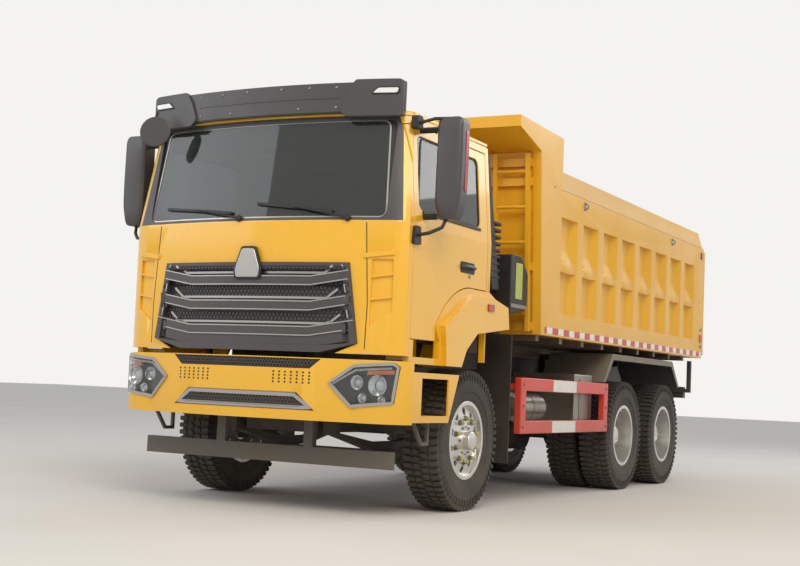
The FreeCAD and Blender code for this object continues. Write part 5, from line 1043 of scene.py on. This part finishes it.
class VisorOperator(bpy.types.Operator):
    """The sun visor's end blocks, marker lamps, seam and fasteners"""
    bl_idname = "truck.visor"
    bl_label = "Sun visor"

    def execute(self, context):
        tree = hull("sun_visor")
        stations = [(0.64, 2.883, 2.905), (0.69, 2.842, 3.03), (0.72, 2.842, 3.075)]
        stations += [(0.755 + 0.05 * k, 2.842, 3.112) for k in range(7)]
        stations += [(1.08, 2.842, 3.11), (1.106, 2.846, 3.094)]
        end = strung([section(x, [front_y(tree, x, z) for z in (max(low, 2.883), min(high, 3.092))],
                              low, high, 0.02, 0.03) for x, low, high in stations])
        x, z = 0.985, 3.025
        y = front_y(tree, x, z)
        slope = (front_y(tree, x + 0.06, z) - front_y(tree, x - 0.06, z)) / 0.12

        def leaned(corners, radius, lift, back):
            form = slab([(x + u, z + v) for u, v in corners], radius, y - lift, y - back, "y", 3)
            return pair(([(p[0], p[1] + slope * (p[0] - x), p[2]) for p in form[0]], form[1]))

        lamp = [(-0.095, -0.018), (0.08, -0.018), (0.09, 0.018), (-0.055, 0.018)]
        rim = [(-0.112, -0.027), (0.09, -0.027), (0.099, 0.027), (-0.062, 0.027)]
        heads = [seated(knob(0.009, 0.006, 12), tree, *ahead(u, v)) for u, v in (
            (0.6, 3.06), (0.385, 3.062), (0.15, 3.064), (0.6, 2.915), (0.3, 2.913))]
        fold = strip(tree, [(-0.62, 2.985), (0.62, 2.985)], 0.04, 0.01, 0.004)
        # A black strip under the visor's edge, over the roof's yellow front edge: partly the dark surround
        # reaching up to the visor, partly painted shade from the visor
        under = [(u, front_y(tree, u, 2.885) + 0.006) for u in (-1.09 + 0.06 * k for k in range(37))
                 if u <= 1.09]
        shade_strip = strung([section(u, (v, v), 2.87, 2.886, 0.004, 0.016) for u, v in under])
        made_all("sun_visor", (
            ("visor_ends", pair(end), "grey", 0.006),
            ("marker_lamps", leaned(lamp, 0.012, 0.031, 0.012), "white_lens", 0.003),
            ("marker_rims", leaned(rim, 0.016, 0.025, 0.01), "black", 0.002),
            ("visor_fasteners", pair(joined(*heads)), "steel"),
            ("visor_fold", fold, "grey"),
            ("visor_lip", shade_strip, "black", 0.003)))
        return {"FINISHED"}


def mirror_housing():
    """The left mirror's tapered housing, its glass and the crown in front."""
    outline = rounded([(1.345, 2.12), (1.47, 2.12), (1.502, 2.27), (1.507, 2.48), (1.505, 2.85),
                       (1.312, 2.85), (1.308, 2.23)], 0.045, 4)
    face, crown = (scaled(outline, share, (1.41, 2.49)) for share in (0.93, 0.72))
    rings = ((outline, -1.006), (face, -1.02), (crown, -1.026))
    bulge = [[(u, y, v) for u, v in ring] for ring, y in rings]
    return extruded(outline, -1.008, -0.885, "y"), extruded(face, -0.886, -0.878, "y"), strung(bulge)


class MirrorOperator(bpy.types.Operator):
    """The mirrors' housings on their arms, their glass, brackets and reflector strips"""
    bl_idname = "truck.mirrors"
    bl_label = "Mirrors"

    def execute(self, context):
        shell, glass, bulge = mirror_housing()
        away = block((1.3, -1.03, 2.112), (1.53, -0.862, 2.858))
        reflector = slab(oblong((-0.945, 2.33), (-0.905, 2.76)), 0.012, 1.498, 1.5092)
        brackets = joined(
            slab([(-1.13, 1.935), (-1.02, 1.935), (-1.035, 2.065), (-1.115, 2.065)], 0.02, 1.198, 1.225),
            slab([(-1.12, 2.76), (-1.03, 2.76), (-1.035, 2.855), (-1.115, 2.855)], 0.02, 1.15, 1.205),
            piped([(1.215, -1.075, 2.0), (1.3, -1.06, 2.015), (1.37, -1.0, 2.06), (1.395, -0.96, 2.15)],
                  0.013),
            piped([(1.19, -1.075, 2.8), (1.3, -1.04, 2.835), (1.38, -0.965, 2.848), (1.395, -0.95, 2.8)],
                  0.012))
        for side, sign in SIDES:
            node = f"mirror_{side}"
            softened(node, "black", 0.003, mesh=worked(merged(node), sided(sign, away)))
            made_all(node, (("mirror_housing", sided(sign, shell), "grey", 0.01, 35, 3),
                            ("mirror_crown", sided(sign, bulge), "grey", 0.0, 50),
                            ("mirror_face", sided(sign, glass), "mirror_glass"),
                            ("mirror_reflector", sided(sign, reflector), "red_lens", 0.002),
                            ("mirror_brackets", sided(sign, brackets), "black", 0.003)), side)
        disc = swung(lathed([(-0.03, 0.001), (-0.03, 0.088), (-0.014, 0.1), (0.004, 0.103), (0.01, 0.098),
                             (0.01, 0.001)], 28), -70, "Z")
        disc = shifted(([(p[0] * 1.25, p[1], p[2] * 1.15) for p in disc[0]], disc[1]), -0.96, -1.335, 2.8)
        rod = piped([(-0.96, -1.33, 2.85), (-0.975, -1.32, 2.9), (-0.985, -1.29, 2.96)], 0.011)
        made("lookdown_mirror", disc, "grey", "sun_visor", bevel=0.004)
        made("lookdown_arm", rod, "black", "sun_visor")
        return {"FINISHED"}


class DoorOperator(bpy.types.Operator):
    """Door handles, locks, window seals and the red side lamps"""
    bl_idname = "truck.doors"
    bl_label = "Door fittings"

    def execute(self, context):
        cup = slab(oblong((-0.32, 1.812), (-0.06, 1.898)), 0.028, -0.004, 0.0035)
        grip = piped([(-0.004, -0.296, 1.858), (0.022, -0.286, 1.86), (0.03, -0.24, 1.862),
                      (0.03, -0.14, 1.862), (0.022, -0.094, 1.86), (-0.004, -0.084, 1.858)], 0.0115, 12)
        lock = lathed([(-0.004, 0.001), (-0.004, 0.015), (0.005, 0.014), (0.005, 0.001)], 18)
        lock = shifted(lock, 0, -0.15, 1.79)
        window = rounded([(-1.004, 2.196), (0.034, 2.196), (0.034, 2.724), (-0.93, 2.724)], 0.06)
        for side, sign in SIDES:
            node = f"door_{side}"
            tree = hull(node, f"door_glass_{side}")
            face = side_x(tree, sign, -0.19, 1.855)
            seal = band(tree, sign, window, 0.06, 0.016, 0.005, closed=True)
            bar = band(tree, sign, [(-0.96, 2.176), (0.03, 2.176)], 0.2, 0.022, 0.009)
            made_all(node, (("door_cup", sided(sign, shifted(cup, face)), "black", 0.003),
                            ("door_handle", sided(sign, shifted(grip, face)), "grey", 0.0, 50),
                            ("door_lock", sided(sign, shifted(lock, face)), "steel"),
                            ("window_seal", seal, "black", 0.0, 50),
                            ("window_rail", bar, "black", 0.002)), side)
        face = side_x(hull("cab_sides", "door_left"), 1, 0.15, 1.575)
        lamp = slab(oblong((0.105, 1.545), (0.215, 1.605)), 0.014, face - 0.003, face + 0.012)
        made("side_lamps", pair(lamp), "red_lens", "cab_sides", bevel=0.003)
        return {"FINISHED"}


# Lamps, bumper and corner panels

def bowl(radius, deep, bulb):
    """A lamp's bowl that opens towards -Y, with its bulb or lens in the middle."""
    profile = [(0.0, radius), (0.0, radius - 0.004), (-deep * 0.55, radius * 0.72), (-deep, bulb),
               (-deep, 0.001), (-deep - 0.004, 0.001), (-deep - 0.004, bulb + 0.004),
               (-deep * 0.55 - 0.004, radius * 0.76 + 0.003)]
    return swung(lathed(profile, 28), -90, "Z")


def lens(radius, bulge):
    profile = [(-0.004, 0.001), (-0.004, radius), (0.0, radius), (bulge * 0.6, radius * 0.75),
               (bulge * 0.9, radius * 0.4), (bulge, 0.001)]
    return swung(lathed(profile, 24), -90, "Z")


class LampOperator(bpy.types.Operator):
    """The headlamps: frame, housing, bowls, white lenses that give a painted glint, and a clear cover"""
    bl_idname = "truck.lamps"
    bl_label = "Headlamps"

    def execute(self, context):
        outline = [(0.86, 0.77), (1.164, 0.805), (1.19, 1.064), (1.164, 1.09), (0.873, 1.064), (0.7, 0.935)]
        tree = hull("headlamps")
        cover = laid(tree, scaled(outline, 0.965), 0.001, 0.003)
        back = laid(tree, scaled(outline, 0.965), -0.06, 0.066)
        edge = scaled(outline, 0.955)
        wall = strip(tree, edge, 0.05, 0.01, -0.002, 0.062, closed=True)
        rim = strip(tree, edge, 0.05, 0.022, 0.004, 0.01, closed=True)
        brow = strip(tree, [(0.735, 0.93), (0.89, 1.03), (1.15, 1.052)], 0.04, 0.014, -0.006, 0.04)
        bowls, glints = [], []
        for x, z, radius, deep, dome in (
                (0.905, 0.945, 0.05, 0.03, 0.022), (1.06, 0.93, 0.072, 0.042, 0.016),
                (0.955, 0.838, 0.034, 0.022, 0.012), (1.09, 0.832, 0.03, 0.022, 0.01)):
            y = front_y(tree, x, z) + 0.012
            bowls.append(shifted(bowl(radius, deep, radius * 0.5), x, y, z))
            # White domes at the bowls' middles: the lamps' lenses, their plain white partly a painted
            # highlight
            glints.append(shifted(lens(radius * 0.5, dome), x, y + deep, z))
        amber = laid(tree, [(0.985, 1.0), (1.158, 1.012), (1.16, 1.04), (0.992, 1.03)], -0.01, 0.03, rows=2)
        pieces = made_all("headlamps", (
            ("headlamp_covers", pair(cover), "lamp_cover", 0.0, 40),
            ("headlamp_backs", pair(joined(back, wall)), "black", 0.0, 40),
            ("headlamp_rims", pair(joined(rim, brow)), "silver", 0.0, 40),
            ("headlamp_bowls", pair(joined(*bowls)), "chrome", 0.0, 40),
            ("headlamp_lenses", pair(joined(*glints)), "white_lens", 0.0, 40),
            ("indicators", pair(amber), "amber_lens", 0.002, 40)))
        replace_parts(pieces[0], "headlamps")
        return {"FINISHED"}


class BumperOperator(bpy.types.Operator):
    """The bumper's intake with its frame and honeycomb, the punched holes and the mesh over it"""
    bl_idname = "truck.bumper"
    bl_label = "Bumper"

    def execute(self, context):
        tree = hull("bumper")
        low = trapezium(0.604, 0.737, 0.466, 0.855)
        edge = trapezium(0.578, 0.754, 0.45, 0.84)
        upper = trapezium(0.56, 1.028, 0.64, 1.098)
        comb = honeycomb(tree, 0.6, 0.745, 0.85, lambda x, z: 0.768 < z < 0.828
                         and abs(x) < 0.547 - 0.138 * (z - 0.737) / 0.118, 0.0155, 0.003)
        top = honeycomb(tree, 0.64, 1.044, 1.095, lambda x, z: abs(x) < 0.55 + 1.1 * (z - 1.035),
                        0.0145, 0.003)
        recess = laid(tree, upper, 0.05, 0.012, rows=2)
        softened("bumper", "cab_paint", 0.005, mesh=worked(merged("bumper"), recess))
        dot = knob(0.0075, 0.0012, 10, 0.0)
        holes = [seated(dot, tree, *ahead(0.285 + 0.046 * column, 1.0 - 0.024 * row))
                 for row in range(4) for column in range(7)]
        made_all("bumper", (
            ("intake_mouth", laid(tree, low, 0.001, 0.004, rows=2), "black", 0.0, 40),
            ("intake_trim", strip(tree, edge, 0.05, 0.026, 0.0075, 0.002, True), "silver", 0.0, 40),
            ("intake_honeycomb", shifted(comb, y=-0.003), "grey", 0.0, 20),
            ("upper_band", laid(tree, upper, -0.0105, 0.0125, rows=2), "black"),
            ("upper_honeycomb", shifted(top, y=0.008), "grey", 0.0, 20),
            ("punched_holes", pair(joined(*holes)), "black")))
        return {"FINISHED"}


class CornerOperator(bpy.types.Operator):
    """Fins in the pockets of the cab's corner panels, a hood over each and the panels' seams"""
    bl_idname = "truck.corners"
    bl_label = "Corner panels"

    def execute(self, context):
        tree = hull("cab_front")
        fins = joined(*(strip(tree, [(0.95, z - 0.012), (1.11, z + 0.01)], 0.02, 0.016, 0.001, 0.02)
                        for z in (1.7, 1.54)))
        hood = strip(tree, [(0.9, 1.836), (1.118, 1.862)], 0.02, 0.034, 0.014)
        seam = strip(tree, [(0.935, 1.18), (0.94, 1.5), (0.905, 2.075)], 0.04, 0.006, 0.0012)
        made("corner_fins", pair(fins), "cab_paint", "cab_front", bevel=0.002)
        made("corner_hoods", pair(hood), "cab_paint", "cab_front", bevel=0.004)
        made("corner_seams", pair(seam), "black", "grille")
        return {"FINISHED"}


# Inside the cab

def cushion(wide, deep, tall, channels=0, sides=36, stations=24):
    """A crowned pad centred on the origin, its edges pulled in and its top stitched in channels."""
    sections = []
    for k in range(stations + 1):
        t = -0.998 + 1.996 * k / stations
        shrink = (1 - abs(t) ** 5) ** 0.2
        ring = []
        for c, s in circle(1.0, sides):
            y = math.copysign(abs(c) ** 0.45, c)
            z = math.copysign(abs(s) ** 0.60, s)
            crown = 1 + 0.10 * (1 - t * t) * (1 - y * y)
            seam = 1 - 0.035 * math.exp(-(z / 0.16) ** 2)
            groove = 1.0
            if channels and z > 0.5:
                groove -= 0.10 * max(0.0, math.cos(math.pi * y * channels)) ** 12
                groove -= 0.07 * math.exp(-((abs(t) - 0.66) / 0.03) ** 2)
            ring.append((t * wide / 2 * seam, y * deep / 2 * (0.90 + 0.10 * shrink) * seam,
                         z * tall / 2 * (0.55 + 0.45 * shrink) * crown * groove))
        sections.append(ring)
    return strung(sections)


def steering_wheel():
    """The wheel's rim, spokes, hub and column, leaning back."""
    wheel_x = 0.56
    rim = piped([(u, v, 0.0) for u, v in circle(0.23, 40, wheel_x)], 0.017, 12, closed=True)
    spokes = []
    for angle in (90, 210, 330):
        c, s = math.cos(math.radians(angle)), math.sin(math.radians(angle))
        spokes.append(piped([(wheel_x + 0.04 * c, 0.04 * s, -0.02), (wheel_x + 0.225 * c, 0.225 * s, 0.0)],
                            0.013, 8))
    hub = shifted(swung(lathed([(-0.045, 0.001), (-0.045, 0.055), (-0.01, 0.072), (0.004, 0.066),
                                (0.008, 0.001)], 28), -90, "Y"), wheel_x)
    column = piped([(wheel_x, 0, -0.02), (wheel_x, 0, -0.3)], 0.034, 16)
    return shifted(swung(joined(rim, *spokes, hub, column), 28, "X"), y=-0.7, z=2.01)


class InsideOperator(bpy.types.Operator):
    """Padded seats, the dashboard and the steering wheel"""
    bl_idname = "truck.inside"
    bl_label = "Cab inside"

    def execute(self, context):
        node = "cab_interior"
        pads = (("cushion", shifted(swung(cushion(0.5, 0.5, 0.15, 2), 3), 0, -0.17, 1.712)),
                ("back", shifted(swung(cushion(0.48, 0.74, 0.125, 3), 82), 0, 0.068, 2.07)),
                ("headrest", shifted(swung(cushion(0.27, 0.19, 0.095), 82), 0, 0.112, 2.515)))
        posts = joined(*(piped([(x, 0.1, 2.4), (x, 0.112, 2.5)], 0.006, 8) for x in (-0.06, 0.06)))
        base = joined(extruded([(-0.36, 1.6), (0.04, 1.6), (0.06, 1.645), (-0.4, 1.645)], -0.2, 0.2),
                      extruded([(-0.3, 1.322), (0.0, 1.322), (-0.03, 1.61), (-0.27, 1.61)], -0.13, 0.13))
        for side, sign in SIDES:
            x = sign * 0.56
            for name, form in pads:
                piece = made(f"seat_{name}_{side}", shifted(form, x), "seat_cloth", node, smooth=60)
            made(f"seat_base_{side}", shifted(base, x), "black", node, bevel=0.008)
            made(f"headrest_posts_{side}", shifted(posts, x), "steel", node)
        dash = joined(
            extruded([(-1.12, 1.585), (-0.86, 1.585), (-0.805, 1.85), (-0.85, 1.95), (-0.98, 1.96),
                      (-1.12, 1.955)], -1.11, 1.11),
            extruded([(-1.02, 1.94), (-0.83, 1.94), (-0.8, 2.02), (-0.86, 2.045), (-1.0, 1.985)],
                     0.34, 0.78),
            block((-0.9, -1.17, 1.6), (0.9, -1.11, 1.94)),
            pair(block((1.06, -1.1, 1.325), (1.11, -0.9, 1.6))))
        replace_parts(made("dashboard", dash, "cab_trim", node, bevel=0.012, segments=3), node)
        wall = touch(hull("cab_back"), (0.0, -0.5, 2.2), (0, 1, 0))[0].y
        made("back_lining", block((-1.06, wall - 0.012, 1.33), (1.06, wall - 0.003, 2.7)), "cab_trim", node,
             bevel=0.003)
        vents = [block((x - 0.065, -0.848 + 0.009 * row, 1.8 + 0.022 * row),
                       (x + 0.065, -0.808 + 0.0035 * row, 1.812 + 0.022 * row))
                 for x in (-0.92, -0.3, 0.12, 0.96) for row in range(4)]
        made("vents", joined(*vents), "black", node)
        made("steering_wheel", steering_wheel(), "black", node, smooth=50)
        return {"FINISHED"}


# Tipping body and chassis

class BodyOperator(bpy.types.Operator):
    """The body's recess steps, reflective tape, tarp hooks, painted shadow line under the rail, corner
    lamps and latches
    """
    bl_idname = "truck.body"
    bl_label = "Tipping body"

    def execute(self, context):
        step = extruded([(1.186, 2.006), (1.2415, 2.006), (1.2415, 2.084), (1.186, 2.146)],
                        -0.203, 0.203, "y")
        steps = rowed(step, RECESSES, (0, RECESS_PITCH, 0), (0, RECESS_Y, 0), "body_paint")
        hook = joined(piped([(0.0, 0.0, 0.03), (0.026, 0.0, 0.024), (0.034, 0.0, 0.004),
                             (0.026, 0.0, -0.016), (0.004, 0.0, -0.022)], 0.006, 8),
                      block((-0.002, -0.022, -0.036), (0.005, 0.022, 0.046)))
        pin = lathed([(-0.004, 0.001), (-0.004, 0.018), (0.012, 0.016), (0.016, 0.01), (0.016, 0.001)], 16)
        for side, sign in SIDES:
            node = f"body_side_{side}"
            tree = hull(node, "tailgate", "headboard")
            # A black line along the foot of the top rail: painted shadow under the rail
            groove = band(tree, sign, [(1.42, 2.73), (6.2, 2.73)], 0.3, 0.016, 0.001)
            tape, lamp, catch = (plated(sign, tree, oblong(*shape), lift) for shape, lift in (
                (((1.3, 1.442), (6.29, 1.498)), 0.0012), (((6.185, 2.6), (6.265, 2.68), 0.012), 0.014),
                (((6.205, 1.61), (6.285, 1.7), 0.01), 0.012)))
            made_all(node, (
                ("tape", tape, "hazard_tape"),
                ("recess_steps", sided(sign, steps), "body_paint", 0.008),
                ("rail_groove", groove, "black"),
                ("tarp_hooks", hung(tree, sign, hook, ((2.2, 2.66), (5.0, 2.66))), "steel", 0.0, 45),
                ("corner_lamp", lamp, "red_lens", 0.003),
                ("latch", catch, "guard_red", 0.003),
                ("latch_pins", hung(tree, sign, pin, ((6.245, 1.76), (6.245, 1.56))), "steel")), side)
        return {"FINISHED"}


class TailOperator(bpy.types.Operator):
    """The rear lamps' lenses and the tailgate's red reflectors"""
    bl_idname = "truck.tail"
    bl_label = "Tail"

    def execute(self, context):
        def face(tree, x, z):
            return touch(tree, (x, 8.0, z), (0, -1, 0))[0].y

        gate, lamps = hull("tailgate"), hull("rear_lamp_arms")
        marks = [extruded(oblong((x, 1.532), (x + 0.3, 1.588)), y - 0.002, y + 0.0015, "y")
                 for x, y in ((x, face(gate, x + 0.15, 1.56)) for x in (-1.02, 0.72))]
        made("tailgate_tape", joined(*marks), "red_lens", "tailgate")
        for name, start, end in (("red_lens", 0.745, 0.875), ("amber_lens", 0.882, 0.965),
                                 ("white_lens", 0.972, 1.035), ("red_lens_outer", 1.042, 1.115)):
            y = face(lamps, (start + end) / 2, 1.01)
            form = extruded(oblong((start, 0.955), (end, 1.065), 0.01), y - 0.004, y + 0.014, "y")
            made(f"tail_{name}", pair(form), name.replace("_outer", ""), "rear_lamp_arms", bevel=0.004)
        return {"FINISHED"}


class ChassisOperator(bpy.types.Operator):
    """Side guard squares, tank bands, frame bolts, duct ribs, labels and the splash guards"""
    bl_idname = "truck.chassis"
    bl_label = "Chassis fittings"

    def execute(self, context):
        tree = hull("side_guards")
        for side, sign in SIDES:
            squares = [plated(sign, tree, oblong((1.56, z - 0.05), (2.13, z + 0.05)), 0.0012)
                       for z in (0.64, 0.995)]
            heads = [seated(knob(0.011, 0.009, 6, 0.1), tree, *beside(sign, y, z))
                     for y in (0.9, 2.955) for z in (0.64, 0.817, 0.995)]
            made(f"guard_squares_{side}", joined(*squares), "white_tape", "side_guards")
            made(f"guard_bolts_{side}", joined(*heads), "steel", "side_guards")
        for node, sign in (("fuel_tank", -1), ("air_tanks_battery", 1)):
            tree = hull(node)
            low, high = extent(node)
            bands = []
            for share in (0.2, 0.8):
                y = low[1] + (high[1] - low[1]) * share
                rays = [beside(sign, y, low[2] + (high[2] - low[2]) * k / 12) for k in range(1, 12)]
                bands.append(ribbon(tree, [ray[0] for ray in rays if struck(tree, *ray)], (-sign, 0, 0),
                                    0.045, 0.004))
            made(f"{node}_bands", joined(*bands), "steel", node)
        front = block((-1.4, 0.2, 0.1), (1.4, 2.0, 2.0))
        guards = merged("mudguards")
        placed("front_splash_guards", worked(guards.copy(), front, "INTERSECT"), "black", "mudguards",
               bevel=0.004)
        rear = softened("mudguards", "mudguard", 0.004, mesh=worked(guards, front)).data
        # The rear mudguards' undersides and inboard faces are given black: painted shade under and inside
        # the guards
        rear.materials.append(FINISH["black"])
        for face in rear.polygons:
            if face.normal.z < -0.15 or abs(face.center.x) < 0.80:
                face.material_index = 1
        tree = hull("frame")
        rays = [beside(sign, 1.3 + 0.24 * k, z)
                for sign in (-1, 1) for k in range(19) for z in (0.86, 0.96)]
        heads = [seated(knob(0.01, 0.009, 6, 0.1), tree, *ray) for ray, met in
                 ((ray, struck(tree, *ray)) for ray in rays) if met and abs(met[0].x) < 0.6]
        made("frame_bolts", joined(*heads), "steel", "frame")
        (x0, y0, _), (x1, y1, _) = extent("air_duct")
        ring = rounded([(x0 - 0.003, y0 + 0.18), (x1 + 0.003, y0 + 0.18), (x1 + 0.003, y1 + 0.003),
                        (x0 - 0.003, y1 + 0.003)], 0.03, 3)
        ribs = [extruded(ring, z, z + 0.026, "z") for z in (1.84 + 0.055 * k for k in range(9))]
        made("duct_ribs", joined(*ribs), "black", "air_duct", bevel=0.006)
        tree = hull("air_filter")
        label = plated(1, tree, oblong((0.8, 1.7), (0.94, 2.0), 0.01), 0.0012)
        made("filter_label", label, "label", "air_filter")
        strap = band(tree, 1, [(0.712, 1.64), (1.04, 1.64)], 0.2, 0.03, 0.003)
        made("filter_band", strap, "steel", "air_filter")
        return {"FINISHED"}


PIECES = (StageOperator, FinishOperator, TyreOperator, WheelOperator, GrilleOperator, ScreenOperator,
          VisorOperator, MirrorOperator, DoorOperator, LampOperator, BumperOperator, CornerOperator,
          InsideOperator, BodyOperator, TailOperator, ChassisOperator)


class TruckPanel(bpy.types.Panel):
    """Lists the truck's pieces"""
    bl_idname = "VIEW3D_PT_truck"
    bl_label = "Truck"
    bl_space_type = "VIEW_3D"
    bl_region_type = "UI"
    bl_category = "Truck"

    def draw(self, context):
        for piece in PIECES:
            self.layout.operator(piece.bl_idname)
        self.layout.prop(context.scene.stage_sizes, "lens")


CLASSES = (StageSizes, *PIECES, TruckPanel)


def register():
    for item in CLASSES:
        bpy.utils.register_class(item)
    bpy.types.Scene.stage_sizes = bpy.props.PointerProperty(type=StageSizes)


def unregister():
    del bpy.types.Scene.stage_sizes
    for item in reversed(CLASSES):
        bpy.utils.unregister_class(item)


def main():
    register()
    mix_finishes()
    for piece in PIECES:
        group, name = piece.bl_idname.split(".")
        getattr(getattr(bpy.ops, group), name)()


if __name__ == "__main__":
    main()
